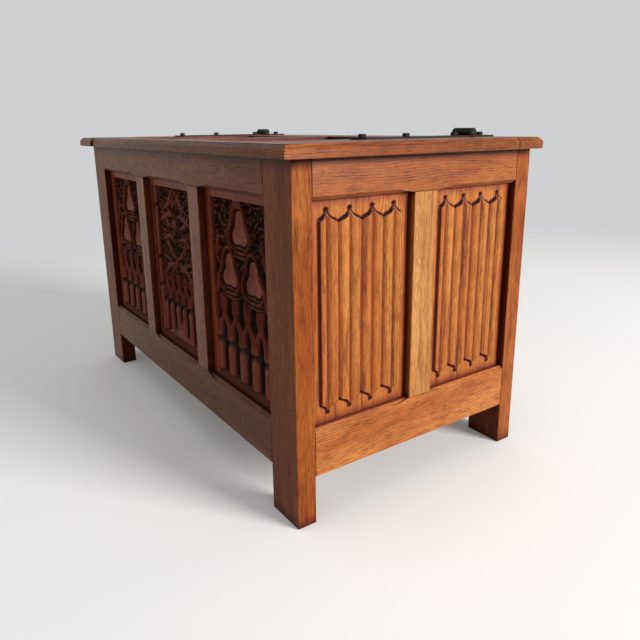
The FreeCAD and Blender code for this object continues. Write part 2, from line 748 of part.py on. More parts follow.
def lid_rail(name, y, groove_y, edge):
    """A rail of the lid, with a tongue in each cleat and a groove for the panels and stubs."""
    board = eased(block(f"{name}_board", (f"-1 * ({FRAME_END})", FRAME_END), y, LID_LEVELS), edge, "lid_chamfer")
    tongue_low = TONGUE_FRONT if name == "lid_front_rail" else y[0]
    tongues = [
        block(
            f"{name}_tongue",
            mirrored((minus(FRAME_END, "lid_groove"), plus(FRAME_END, LID_REACH)), sign),
            (tongue_low, y[1]),
            LID_TONGUE_LEVELS,
        )
        for sign in (-1, 1)
    ]
    groove = block(f"{name}_groove", (f"-1 * ({FRAME_END})", FRAME_END), groove_y, LID_GROOVE_LEVELS)
    return [board] + tongues, [groove]


def lid_upright(name, x, tongue_x, groove_spans):
    """A stile or muntin of the lid, with stubs in the rails' grooves and grooves for the panels."""
    board = eased(block(f"{name}_board", x, (RAIL_INSIDE, BACK_RAIL_INSIDE), LID_LEVELS))
    stub_y = (minus(RAIL_INSIDE, LID_REACH), plus(BACK_RAIL_INSIDE, LID_REACH))
    stub = block(f"{name}_stub", tongue_x, stub_y, LID_TONGUE_LEVELS)
    grooves = [
        block(f"{name}_groove", span, (RAIL_INSIDE, BACK_RAIL_INSIDE), LID_GROOVE_LEVELS) for span in groove_spans
    ]
    return [board, stub], grooves


solids, tools = lid_rail(
    "lid_front_rail", (FRAME_FRONT, RAIL_INSIDE), (minus(RAIL_INSIDE, "lid_groove"), RAIL_INSIDE), front_top_edge
)
finished(cut("lid_front_rail", solids, tools), "lid_front_rail")

solids, tools = lid_rail(
    "lid_back_rail",
    (BACK_RAIL_INSIDE, LID_BACK),
    (BACK_RAIL_INSIDE, plus(BACK_RAIL_INSIDE, "lid_groove")),
    lambda low, high, point: False,
)
tools += bolt_holes("lid_back_rail", STRAP_BOLTS[2:], -1)
finished(cut("lid_back_rail", solids, tools), "lid_back_rail")

for sign, side in ((-1, "left"), (1, "right")):
    name = f"lid_{side}_stile"
    groove_x = mirrored((STILE_INSIDE, plus(STILE_INSIDE, "lid_groove")), sign)
    stub_x = mirrored((plus(STILE_INSIDE, "lid_groove"), FRAME_END), sign)
    solids, tools = lid_upright(name, mirrored((STILE_INSIDE, FRAME_END), sign), stub_x, [groove_x])
    tongue_x = mirrored((minus(FRAME_END, "lid_groove"), plus(FRAME_END, LID_REACH)), sign)
    solids.append(block(f"{name}_tongue", tongue_x, (RAIL_INSIDE, BACK_RAIL_INSIDE), LID_TONGUE_LEVELS))
    tools += bolt_holes(name, STRAP_BOLTS[:2], -1)
    finished(cut(name, solids, tools), name)

    name = f"lid_{side}_cleat"
    cleat = block(f"{name}_board", mirrored((FRAME_END, LID_END), sign), (LID_FRONT, LID_BACK), LID_LEVELS)
    cleat_groove = block(
        f"{name}_groove",
        mirrored((FRAME_END, plus(FRAME_END, "lid_groove")), sign),
        (minus(TONGUE_FRONT, "panel_gap"), LID_BACK),
        LID_GROOVE_LEVELS,
    )
    finished(cut(name, [eased(cleat, cleat_edge, "lid_chamfer")], [cleat_groove]), name)

    name = f"lid_{side}_panel"
    panel = block(
        f"{name}_board",
        mirrored((minus(MUNTIN_HALF, LID_REACH), plus(STILE_INSIDE, LID_REACH)), sign),
        (minus(RAIL_INSIDE, LID_REACH), plus(BACK_RAIL_INSIDE, LID_REACH)),
        LID_TONGUE_LEVELS,
    )
    finished(panel, name)

muntin_grooves = [mirrored((minus(MUNTIN_HALF, "lid_groove"), MUNTIN_HALF), sign) for sign in (-1, 1)]
muntin_core = (plus(f"-1 * {MUNTIN_HALF}", "lid_groove"), minus(MUNTIN_HALF, "lid_groove"))
solids, tools = lid_upright("lid_muntin", (f"-1 * {MUNTIN_HALF}", MUNTIN_HALF), muntin_core, muntin_grooves)
finished(cut("lid_muntin", solids, tools), "lid_muntin")

# The hinges: a long strap on the lid, a short leaf on the fixed strip, and the pin through both
ALONG_X = FreeCAD.Rotation(UP, FreeCAD.Vector(1, 0, 0))
LEAF_LEVELS = (LID_TOP, f"{LID_TOP} + leaf_thickness")
BARREL_PASS = "barrel_radius + knuckle_gap"


def hinge_x(sign, span):
    centre = f"{sign} * ({HINGE_X})"
    return plus(centre, span[0]), plus(centre, span[1])


def strap_outline(name, sign):
    """The strap's tapering leaf, drawn flat and padded to its thickness."""
    body = doc.addObject("PartDesign::Body", f"{name}_leaf")
    sketch = body.newObject("Sketcher::SketchObject", f"{name}_outline")
    flat = next(plane for plane in body.Origin.OriginFeatures if plane.Role == "XY_Plane")
    sketch.AttachmentSupport = [(flat, "")]
    sketch.MapMode = "FlatFace"
    half, neck_half = sheet.barrel_length / 2, sheet.strap_neck / 2
    back, shoulder = -sheet.barrel_radius - sheet.knuckle_gap, -sheet.strap_shoulder
    neck = sheet.strap_end_radius - sheet.strap_length
    corners = [
        (half, back, "barrel_length / 2", f"-1 * ({BARREL_PASS})"),
        (half, shoulder, "barrel_length / 2", "-1 * strap_shoulder"),
        (neck_half, neck, "strap_neck / 2", "strap_end_radius - strap_length"),
        (-neck_half, neck, "-1 * strap_neck / 2", "strap_end_radius - strap_length"),
        (-half, shoulder, "-1 * barrel_length / 2", "-1 * strap_shoulder"),
        (-half, back, "-1 * barrel_length / 2", f"-1 * ({BARREL_PASS})"),
    ]
    points = [FreeCAD.Vector(x, y, 0) for x, y, across, along in corners]
    for start, end in zip(points, points[1:] + points[:1]):
        sketch.addGeometry(Part.LineSegment(start, end))
    for line in range(len(corners)):
        sketch.addConstraint(Sketcher.Constraint("Coincident", line, 2, (line + 1) % len(corners), 1))
    origin, start_point = -1, 1
    for line, (x, y, across, along) in enumerate(corners):
        for kind, number, formula in (("DistanceX", x, across), ("DistanceY", y, along)):
            dimension = Sketcher.Constraint(kind, origin, start_point, line, start_point, number)
            sketch.setExpression(f"Constraints[{sketch.addConstraint(dimension)}]", bound(formula))
    pad = body.newObject("PartDesign::Pad", f"{name}_pad")
    pad.Profile = sketch
    pad.setExpression("Length", bound("leaf_thickness"))
    body.Tip = pad
    return place(body, f"{sign} * ({HINGE_X})", PIN_Y, LID_TOP)


def knuckle(name, sign, span):
    start = (hinge_x(sign, span)[0], PIN_Y, PIN_Z)
    return rod(name, "barrel_radius", minus(span[1], span[0]), *start, ALONG_X)


def pin_bore(name, sign):
    start = (hinge_x(sign, ("-1 * barrel_length", "0"))[0], PIN_Y, PIN_Z)
    return rod(name, "pin_radius + pin_clearance", "2 * barrel_length", *start, ALONG_X)


def leaf_holes(name, sign, reaches, direction):
    return [
        rod(
            f"{name}_hole",
            "bolt_radius + bolt_clearance",
            "3 * leaf_thickness",
            f"{sign} * ({HINGE_X})",
            f"{PIN_Y} + ({direction}) * ({reach})",
            f"{LID_TOP} - leaf_thickness",
        )
        for reach in reaches
    ]


for sign, side in ((-1, "left"), (1, "right")):
    inner = "middle_knuckle / 2"
    outer = "barrel_length / 2"
    middle_span = (f"-1 * {inner}", inner)

    name = f"{side}_hinge_strap"
    round_end = rod(
        f"{name}_end",
        "strap_end_radius",
        "leaf_thickness",
        f"{sign} * ({HINGE_X})",
        f"{PIN_Y} - ({STRAP_END_REACH})",
        LID_TOP,
    )
    root = block(
        f"{name}_root", hinge_x(sign, middle_span), (f"{PIN_Y} - ({BARREL_PASS}) - lid_gap", PIN_Y), LEAF_LEVELS
    )
    strap_solids = [strap_outline(name, sign), round_end, root, knuckle(f"{name}_knuckle", sign, middle_span)]
    strap_tools = [pin_bore(f"{name}_bore", sign)] + leaf_holes(name, sign, STRAP_BOLTS, -1)
    finished(cut(name, strap_solids, strap_tools), name)

    name = f"{side}_hinge_rear_leaf"
    rear_solids = [
        block(
            f"{name}_leaf",
            hinge_x(sign, (f"-1 * {outer}", outer)),
            (f"{PIN_Y} + {BARREL_PASS}", f"{PIN_Y} + rear_leaf_length"),
            LEAF_LEVELS,
        )
    ]
    gap_edge = f"{inner} + knuckle_gap"
    for span in ((f"-1 * {outer}", f"-1 * ({gap_edge})"), (gap_edge, outer)):
        root_y = (PIN_Y, f"{PIN_Y} + {BARREL_PASS} + lid_gap")
        rear_solids.append(block(f"{name}_root", hinge_x(sign, span), root_y, LEAF_LEVELS))
        rear_solids.append(knuckle(f"{name}_knuckle", sign, span))
    rear_tools = [pin_bore(f"{name}_bore", sign)] + leaf_holes(name, sign, REAR_BOLTS, 1)
    finished(cut(name, rear_solids, rear_tools), name)

    name = f"{side}_hinge_pin"
    half_pin = "barrel_length / 2 + pin_clearance"
    pin_start = hinge_x(sign, (f"-1 * ({half_pin})", half_pin))
    shank = rod(f"{name}_shank", "pin_radius", f"2 * ({half_pin})", pin_start[0], PIN_Y, PIN_Z, ALONG_X)
    heads = [
        rod(f"{name}_head", "pin_head_radius", "pin_head", start, PIN_Y, PIN_Z, ALONG_X)
        for start in (minus(pin_start[0], "pin_head"), pin_start[1])
    ]
    finished(union(name, [shank] + heads), name)


def hinge_bolts(name, reaches, direction):
    """Square-headed bolts through the leaves of both hinges, one solid each."""
    bolts = []
    for x, y in hinge_bolt_places(reaches, direction):
        shank_levels = (f"{LID_TOP} - bolt_depth", LEAF_LEVELS[1])
        shank = rod(f"{name}_shank", "bolt_radius", minus(shank_levels[1], shank_levels[0]), x, y, shank_levels[0])
        half_head = "bolt_head_width / 2"
        head = block(
            f"{name}_head",
            (minus(x, half_head), plus(x, half_head)),
            (minus(y, half_head), plus(y, half_head)),
            (LEAF_LEVELS[1], f"{LEAF_LEVELS[1]} + bolt_head"),
        )
        bolts.append(union(f"{name}_bolt", [shank, eased(head)]))
    group = part("Compound", name)
    group.Links = bolts
    return finished(group, name)


hinge_bolts("lid_hinge_bolts", STRAP_BOLTS, -1)
hinge_bolts("strip_hinge_bolts", REAR_BOLTS, 1)

doc.recompute()
failed = [item.Name for item in doc.Objects if {"Invalid", "Error"} & set(item.State)]
failed += [item.Label for item in sub_parts if item.Shape.isNull() or not item.Shape.isValid()]
if failed:
    raise RuntimeError(f"these did not build: {failed}")

os.makedirs("parts", exist_ok=True)
for item in sub_parts:
    item.Shape.exportStep(f"parts/{item.Label}.step")
    print(item.Label, len(item.Shape.Solids), "solids", round(item.Shape.Volume), "mm3")
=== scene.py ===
"""A joined oak coffer: carved front, linenfold ends, framed lid on iron strap hinges."""

import math

import bpy
import numpy as np
from mathutils import Matrix, Vector


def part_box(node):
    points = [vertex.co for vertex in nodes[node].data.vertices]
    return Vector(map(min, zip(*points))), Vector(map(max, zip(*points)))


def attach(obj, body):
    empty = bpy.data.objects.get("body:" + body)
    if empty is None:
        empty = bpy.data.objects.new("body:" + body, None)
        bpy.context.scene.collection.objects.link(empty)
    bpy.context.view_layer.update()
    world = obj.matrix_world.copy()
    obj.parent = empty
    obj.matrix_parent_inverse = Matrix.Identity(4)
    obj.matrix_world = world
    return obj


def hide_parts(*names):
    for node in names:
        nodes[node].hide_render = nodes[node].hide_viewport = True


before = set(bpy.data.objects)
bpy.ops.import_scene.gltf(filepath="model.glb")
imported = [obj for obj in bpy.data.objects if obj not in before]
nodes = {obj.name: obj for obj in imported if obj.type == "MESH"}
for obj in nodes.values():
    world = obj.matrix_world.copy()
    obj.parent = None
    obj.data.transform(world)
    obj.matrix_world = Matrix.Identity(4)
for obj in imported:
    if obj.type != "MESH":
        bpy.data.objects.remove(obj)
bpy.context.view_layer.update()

# The posts: four oak boards that stand on the floor as legs, mortised for the rails and grooved for the
# panels. They are stained a warm red brown and varnished. The stain sits dark in the pores, every corner is
# darkened with painted shade, and the arrises are rubbed paler.


def wire(tree, kind, *values, **settings):
    """A new node with its settings, and its sockets set or linked in order."""
    made = tree.nodes.new(kind)
    for name, setting in settings.items():
        setattr(made, name, setting)
    for socket, value in zip(made.inputs, values):
        if isinstance(value, bpy.types.NodeSocket):
            tree.links.new(value, socket)
        elif value is not None:
            socket.default_value = value
    return made


def arithmetic(tree, operation, *values):
    return wire(tree, "ShaderNodeMath", *values, operation=operation).outputs[0]


def product(tree, first, second):
    return arithmetic(tree, "MULTIPLY", first, second)


def difference(tree, first, second):
    return arithmetic(tree, "SUBTRACT", first, second)


def larger(tree, first, second):
    return arithmetic(tree, "MAXIMUM", first, second)


def ease(tree, value, low, high):
    """0 below the low value, 1 above the high one, smooth between."""
    made = wire(tree, "ShaderNodeMapRange", value, low, high, 0.0, 1.0, interpolation_type="SMOOTHSTEP")
    return made.outputs["Result"]


def fall(tree, value, low, high):
    """1 below the low value, 0 above the high one, smooth between."""
    return difference(tree, 1.0, ease(tree, value, low, high))


def stretched(tree, coordinates, scale, detail, roughness=0.5, gives="Fac"):
    """Noise drawn out along the board. Its scale is in repeats per metre along, across and through it."""
    long_way = wire(tree, "ShaderNodeVectorMath", coordinates, scale, operation="MULTIPLY").outputs[0]
    noise = wire(tree, "ShaderNodeTexNoise", noise_dimensions="3D")
    tree.links.new(long_way, noise.inputs["Vector"])
    noise.inputs["Scale"].default_value = 1.0
    noise.inputs["Detail"].default_value = detail
    noise.inputs["Roughness"].default_value = roughness
    return noise.outputs[gives]


def blend(tree, amount, first, second, way="MIX"):
    """Mixes two colours, which are sockets 6 and 7 of the node."""
    made = tree.nodes.new("ShaderNodeMix")
    made.data_type = "RGBA"
    made.blend_type = way
    for socket, value in zip((made.inputs[0], made.inputs[6], made.inputs[7]), (amount, first, second)):
        if isinstance(value, bpy.types.NodeSocket):
            tree.links.new(value, socket)
        else:
            socket.default_value = value
    return made.outputs[2]


def oak_figure():
    """The figure of a sawn oak board, from coordinates with X along the grain and the pith on the X axis."""
    tree = bpy.data.node_groups.new("oak_figure", "ShaderNodeTree")
    tree.interface.new_socket("Board", in_out="INPUT", socket_type="NodeSocketVector")
    for name in ("Rings", "Pores", "Rays", "Cloud", "Mottle"):
        tree.interface.new_socket(name, in_out="OUTPUT", socket_type="NodeSocketFloat")
    board = tree.nodes.new("NodeGroupInput").outputs["Board"]
    ends = tree.nodes.new("NodeGroupOutput")

    sway = 0.016
    sway_scale = (4.5, 14.0, 14.0)
    bends = stretched(tree, board, sway_scale, 2.0, gives="Color")
    sideways = wire(tree, "ShaderNodeVectorMath", bends, (0.0, sway, sway), operation="MULTIPLY").outputs[0]
    board = wire(tree, "ShaderNodeVectorMath", board, sideways, operation="ADD").outputs[0]

    ring_width = 0.0040
    wander = 0.022
    wander_scale = (1.8, 10.0, 10.0)
    strength_scale = (1.5, 45.0, 45.0)
    across = wire(tree, "ShaderNodeVectorMath", board, (0.0, 1.0, 1.0), operation="MULTIPLY").outputs[0]
    radius = wire(tree, "ShaderNodeVectorMath", across, operation="LENGTH").outputs["Value"]
    drift = difference(tree, stretched(tree, board, wander_scale, 5.0, 0.55), 0.5)
    drifted = arithmetic(tree, "MULTIPLY_ADD", drift, wander, radius)
    phase = arithmetic(tree, "FRACT", arithmetic(tree, "DIVIDE", drifted, ring_width))
    early = fall(tree, phase, 0.0, 0.45)
    late = ease(tree, phase, 0.86, 1.0)
    strong = ease(tree, stretched(tree, board, strength_scale, 3.0), 0.32, 0.66)
    rings = product(tree, larger(tree, early, late), strong)
    tree.links.new(rings, ends.inputs["Rings"])

    streak_scale = (40.0, 330.0, 330.0)
    dash_scale = (90.0, 900.0, 900.0)
    pore_share = 0.6
    early_share = 0.55
    streaks = ease(tree, stretched(tree, board, streak_scale, 3.0, 0.6), 0.46, 0.66)
    dashes = ease(tree, stretched(tree, board, dash_scale, 1.0), 0.48, 0.66)
    both = arithmetic(tree, "MULTIPLY_ADD", dashes, pore_share, product(tree, streaks, pore_share))
    in_early = arithmetic(tree, "MULTIPLY_ADD", rings, early_share, early_share)
    tree.links.new(product(tree, both, in_early), ends.inputs["Pores"])

    ray_scale = (60.0, 170.0, 26.0)
    cloud_scale = (2.2, 13.0, 13.0)
    mottle_scale = (19.0, 70.0, 70.0)
    flecks = ease(tree, stretched(tree, board, ray_scale, 2.0, 0.6), 0.60, 0.72)
    tree.links.new(flecks, ends.inputs["Rays"])
    tree.links.new(stretched(tree, board, cloud_scale, 4.0), ends.inputs["Cloud"])
    uneven = stretched(tree, board, mottle_scale, 5.0, 0.65)
    tree.links.new(ease(tree, uneven, 0.44, 0.66), ends.inputs["Mottle"])
    return tree


def rubbed_arris(tree, reach):
    """1 on an arris, down to 0 on the flat beside it."""
    arris = wire(tree, "ShaderNodeAmbientOcclusion", samples=6, inside=True)
    arris.inputs["Distance"].default_value = reach
    return fall(tree, arris.outputs["AO"], 0.30, 0.80)


def dent(tree, shader, height, strength, depth):
    """Fine hollows in the surface, to a depth in metres."""
    bump = wire(tree, "ShaderNodeBump")
    bump.inputs["Strength"].default_value = strength
    bump.inputs["Distance"].default_value = depth
    tree.links.new(height, bump.inputs["Height"])
    tree.links.new(bump.outputs["Normal"], shader.inputs["Normal"])


OAK_FIGURE = oak_figure()
UNEVEN_STAIN = (0.62, 0.47, 0.38, 1.0)
# Painted shade: the reddish tint that corners and hollows take as they are darkened.
PAINTED_SHADE_TINT = (1.0, 0.52, 0.55, 1.0)
RING_SHADE = 0.60
MOTTLE_SHADE = 0.60
# How far the painted shade darkens the most shut corner.
CORNER_SHADE_MOST = 0.84
WORN_MOST = 0.5
ARRIS_REACH = 0.0035
WEAR_SCALE = (38.0, 38.0, 38.0)
VARNISH_ROUGHNESS = 0.34
COAT_ROUGHNESS = 0.15
PORE_DULLNESS = 0.20
HOLLOW_DULLNESS = 0.45
PORE_DEPTH = 0.0004
LENGTH_SHIFT = 0.37
GRAIN_TURN = {
    "X": (0.0, 0.0, 0.0),
    "Y": (0.0, 0.0, -math.pi / 2),
    "Z": (0.0, math.pi / 2, 0.0),
}


def stained_oak(
    name, box, grain, tones, pith=(0.02, 0.11), tone=1.0, rays=0.12, corner_reach=0.028, shine=0.28
):
    """Varnished oak for one board, whose pith lies off its middle, so that each shows its own figure."""
    material = bpy.data.materials.new(name)
    material.use_nodes = True
    tree = material.node_tree
    shader = tree.nodes["Principled BSDF"]
    place = wire(tree, "ShaderNodeTexCoord").outputs["Object"]
    turn = wire(tree, "ShaderNodeMapping", place)
    turn.inputs["Rotation"].default_value = GRAIN_TURN[grain]
    _, lean, swing = GRAIN_TURN[grain]
    middle = (Vector(box[0]) + Vector(box[1])) / 2
    turned = Matrix.Rotation(lean, 3, "Y") @ Matrix.Rotation(swing, 3, "Z") @ middle
    shift = (-turned.x * LENGTH_SHIFT, pith[0] - turned.y, pith[1] - turned.z)
    turn.inputs["Location"].default_value = shift
    figure = wire(tree, "ShaderNodeGroup", node_tree=OAK_FIGURE)
    tree.links.new(turn.outputs[0], figure.inputs["Board"])
    rings, pores = figure.outputs["Rings"], figure.outputs["Pores"]

    warm, pale = (tuple(min(part * tone, 1.0) for part in tones[shade]) for shade in ("warm", "pale"))
    ground = blend(tree, ease(tree, figure.outputs["Cloud"], 0.38, 0.62), warm, pale)
    ringed = blend(tree, product(tree, rings, RING_SHADE), ground, tones["dark"])
    porous = blend(tree, pores, ringed, tones["dark"])
    uneven = product(tree, figure.outputs["Mottle"], MOTTLE_SHADE)
    mottled = blend(tree, uneven, porous, UNEVEN_STAIN, "MULTIPLY")
    rayed = blend(tree, product(tree, figure.outputs["Rays"], rays), mottled, tones["ray"])

    # Painted shade: corners and recesses within the reach darken and redden, found by ambient occlusion.
    corner = wire(tree, "ShaderNodeAmbientOcclusion", samples=6)
    corner.inputs["Distance"].default_value = corner_reach
    clear = ease(tree, corner.outputs["AO"], 0.50, 0.99)
    painted_corner_shade = arithmetic(tree, "MULTIPLY_ADD", clear, -CORNER_SHADE_MOST, CORNER_SHADE_MOST)
    # The carved boards' attribute: stain and painted shade in their hollows, cuts and valleys.
    carved_stain_and_shade = wire(tree, "ShaderNodeAttribute", attribute_name="stain_and_painted_shade").outputs["Fac"]
    stain_and_shade = larger(tree, painted_corner_shade, carved_stain_and_shade)
    shade_tinted = blend(tree, ease(tree, stain_and_shade, 0.0, 0.55), rayed, PAINTED_SHADE_TINT, "MULTIPLY")
    with_painted_shade = blend(tree, stain_and_shade, shade_tinted, tones["painted_shade"])
    patchy = ease(tree, stretched(tree, place, WEAR_SCALE, 3.0), 0.40, 0.62)
    open_air = arithmetic(tree, "MULTIPLY_ADD", stain_and_shade, -WORN_MOST, WORN_MOST)
    worn = product(tree, product(tree, rubbed_arris(tree, ARRIS_REACH), patchy), open_air)
    tree.links.new(blend(tree, worn, with_painted_shade, tones["ray"]), shader.inputs["Base Color"])

    dull = arithmetic(tree, "MULTIPLY_ADD", pores, PORE_DULLNESS, VARNISH_ROUGHNESS)
    duller = arithmetic(tree, "MULTIPLY_ADD", carved_stain_and_shade, HOLLOW_DULLNESS, dull)
    tree.links.new(duller, shader.inputs["Roughness"])
    hollow = arithmetic(tree, "MULTIPLY_ADD", rings, -0.35, product(tree, pores, -1.0))
    dent(tree, shader, hollow, strength=0.50, depth=PORE_DEPTH)
    shader.inputs["Specular IOR Level"].default_value = shine
    coat = shine / 3.0
    broken = larger(tree, carved_stain_and_shade, pores)
    tree.links.new(arithmetic(tree, "MULTIPLY_ADD", broken, -coat, coat), shader.inputs["Coat Weight"])
    shader.inputs["Coat Roughness"].default_value = COAT_ROUGHNESS
    return material


def finish_board(node, grain, tones, **figure):
    """Gives a CAD node its own oak."""
    board = nodes[node]
    material = stained_oak(f"oak_{node}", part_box(node), grain, tones, **figure)
    board.data.materials.clear()
    board.data.materials.append(material)


# The colour of the painted shade in the frame's corners.
SHADE_BROWN = (0.030, 0.010, 0.008, 1.0)
POST_OAK = {
    "pale": (0.58, 0.176, 0.037, 1.0),
    "warm": (0.40, 0.092, 0.017, 1.0),
    "dark": (0.10, 0.020, 0.005, 1.0),
    "ray": (0.60, 0.25, 0.070, 1.0),
    "painted_shade": SHADE_BROWN,
}
logs = np.random.default_rng(17)


def pith_of_log(sideways, nearest, farthest):
    """Where the log's middle lay: off to a side of the board's middle, and behind it."""
    aside = float(logs.uniform(-sideways, sideways))
    behind = float(logs.uniform(nearest, farthest))
    return aside, behind


for corner in ("front_left", "front_right", "back_left", "back_right"):
    pith = pith_of_log(0.03, 0.04, 0.09)
    finish_board(f"{corner}_post", "Z", POST_OAK, pith=pith, tone=0.84, corner_reach=0.026, shine=0.12)

# The rails: an upper and a lower oak board on each side, tenoned into the posts. The two of the front are
# painted darker, as painted shade, with more painted shade in their corners above all, and have a duller
# varnish. The upper one is quarter-sawn, so that rays cross its grain.
FRAME_OAK = {
    "pale": (0.61, 0.220, 0.050, 1.0),
    "warm": (0.43, 0.118, 0.023, 1.0),
    "dark": (0.11, 0.024, 0.006, 1.0),
    "ray": (0.62, 0.27, 0.075, 1.0),
    "painted_shade": SHADE_BROWN,
}
# The front rails are painted darker than the same oak elsewhere: painted shade.
SHADED_FRONT_RAIL_TONES = {"top_rail": 0.84, "bottom_rail": 0.54}
OTHER_RAIL_TONES = {"top_rail": 0.94, "bottom_rail": 1.16}
for side in ("front", "back", "left", "right"):
    on_front = side == "front"
    rail_tones = SHADED_FRONT_RAIL_TONES if on_front else OTHER_RAIL_TONES
    for rail in ("top_rail", "bottom_rail"):
        finish_board(
            f"{side}_{rail}",
            "X" if side in ("front", "back") else "Y",
            FRAME_OAK,
            pith=pith_of_log(0.05, 0.05, 0.14),
            tone=rail_tones[rail],
            rays=0.45 if on_front and rail == "top_rail" else 0.12,
            corner_reach=0.045 if on_front else 0.018,
            shine=0.16 if on_front else 0.24,
        )

# The muntins: upright oak boards between the panels, with a stub tenon in the groove of the rail above and
# below. All are quarter-sawn, with rays across the grain. Those of the two ends are of a paler oak.
PALE_OAK = {
    "pale": (0.66, 0.325, 0.090, 1.0),
    "warm": (0.55, 0.230, 0.054, 1.0),
    "dark": (0.22, 0.065, 0.015, 1.0),
    "ray": (0.34, 0.135, 0.036, 1.0),
    "painted_shade": SHADE_BROWN,
}
for muntin in sorted(name for name in nodes if "_muntin_" in name):
    on_end = muntin.startswith(("left", "right"))
    finish_board(
        muntin,
        "Z",
        PALE_OAK if on_end else FRAME_OAK,
        pith=pith_of_log(0.04, 0.05, 0.12),
        rays=0.55,
        corner_reach=0.014 if on_end else 0.026,
    )

# The end panels: linenfold, carved in the board as upright folds of cloth whose hems end in points. Oak like
# the frame, a little brighter, with its thin edge in the grooves of the rails, posts and muntin. A line is
# cut along each hem, and a gouge mark stands at the tip of every point. The lines and gouges, the valleys
# between the folds, the steps at the field's sides and the board next to the frame are darkened: painted
# shade.
PANEL_OAK = {
    "pale": (0.64, 0.228, 0.043, 1.0),
    "warm": (0.55, 0.160, 0.026, 1.0),
    "dark": (0.15, 0.030, 0.007, 1.0),
    "ray": (0.64, 0.27, 0.060, 1.0),
    "painted_shade": (0.022, 0.007, 0.004, 1.0),
}
GROOVE_DEPTH = 0.0095
GROOVE_PLAY = 0.0003
TONGUE_LEVEL = -0.0078


def tongued_board(name, width, height, depth, step):
    """A closed board in its own frame: X across, Y up, Z outward from its flat. Its front is a fine grid."""
    columns = round(width / step) + 1
    rows = round(height / step) + 1
    places_across = np.linspace(-width / 2, width / 2, columns)
    places_up = np.linspace(-height / 2, height / 2, rows)
    across, upright = np.meshgrid(places_across, places_up)
    front = np.column_stack((across.ravel(), upright.ravel(), np.zeros(columns * rows)))
    index = np.arange(columns * rows).reshape(rows, columns)
    corners = (index[:-1, :-1], index[:-1, 1:], index[1:, 1:], index[1:, :-1])
    quads = np.stack(corners, axis=-1).reshape(-1, 4)
    rim = np.concatenate((index[0, :-1], index[:-1, -1], index[-1, :0:-1], index[:0:-1, 0]))
    in_groove = 2.0 * (GROOVE_DEPTH + GROOVE_PLAY)
    shrunk = front[rim] * (1.0 - in_groove / width, 1.0 - in_groove / height, 1.0)
    rings = [rim]
    points = [front]
    for outline, level in ((front[rim], TONGUE_LEVEL), (shrunk, TONGUE_LEVEL), (shrunk, -depth)):
        rings.append(len(front) + (len(points) - 1) * len(rim) + np.arange(len(rim)))
        points.append(outline + (0.0, 0.0, level))
    faces = quads.tolist()
    for near, far in zip(rings, rings[1:]):
        faces += np.column_stack((near, far, np.roll(far, -1), np.roll(near, -1))).tolist()
    faces.append(rings[-1][::-1].tolist())
    mesh = bpy.data.meshes.new(name)
    mesh.from_pydata(np.concatenate(points).tolist(), [], faces)
    return mesh, len(front)


FOLD_ROUNDNESS = 2.4
HEM_CURVE = ((0.07, 0.13), (0.66, 0.42), (0.84, 0.62))
CLOTH_EDGE = (-0.0006, 0.0008)
SIDE_EDGE = (-0.001, 0.001)
GOUGE_REACH = (0.0022, 0.0054)
GOUGE_SHADE_REACH = (0.0030, 0.0062)
GOUGE_FLATTENING = 1.25
HEM_LINE_WIDTH = 0.0030
HEM_LINE_SWELL = 0.0026
HEM_LINE_START = 0.0004
HEM_LINE_SHARE = 0.80
# How dark the painted shade lies in the valleys, at the side steps and next to the frame.
FOLD_SHADE = 0.55
SIDE_STEP_SHADE = 0.75
BORDER_SHADE = 0.42
BORDER_REACH = 0.018
BORDER_BESIDE = 0.0185
BORDER_ABOVE = 0.016
FRONT_LEVEL = -0.0001


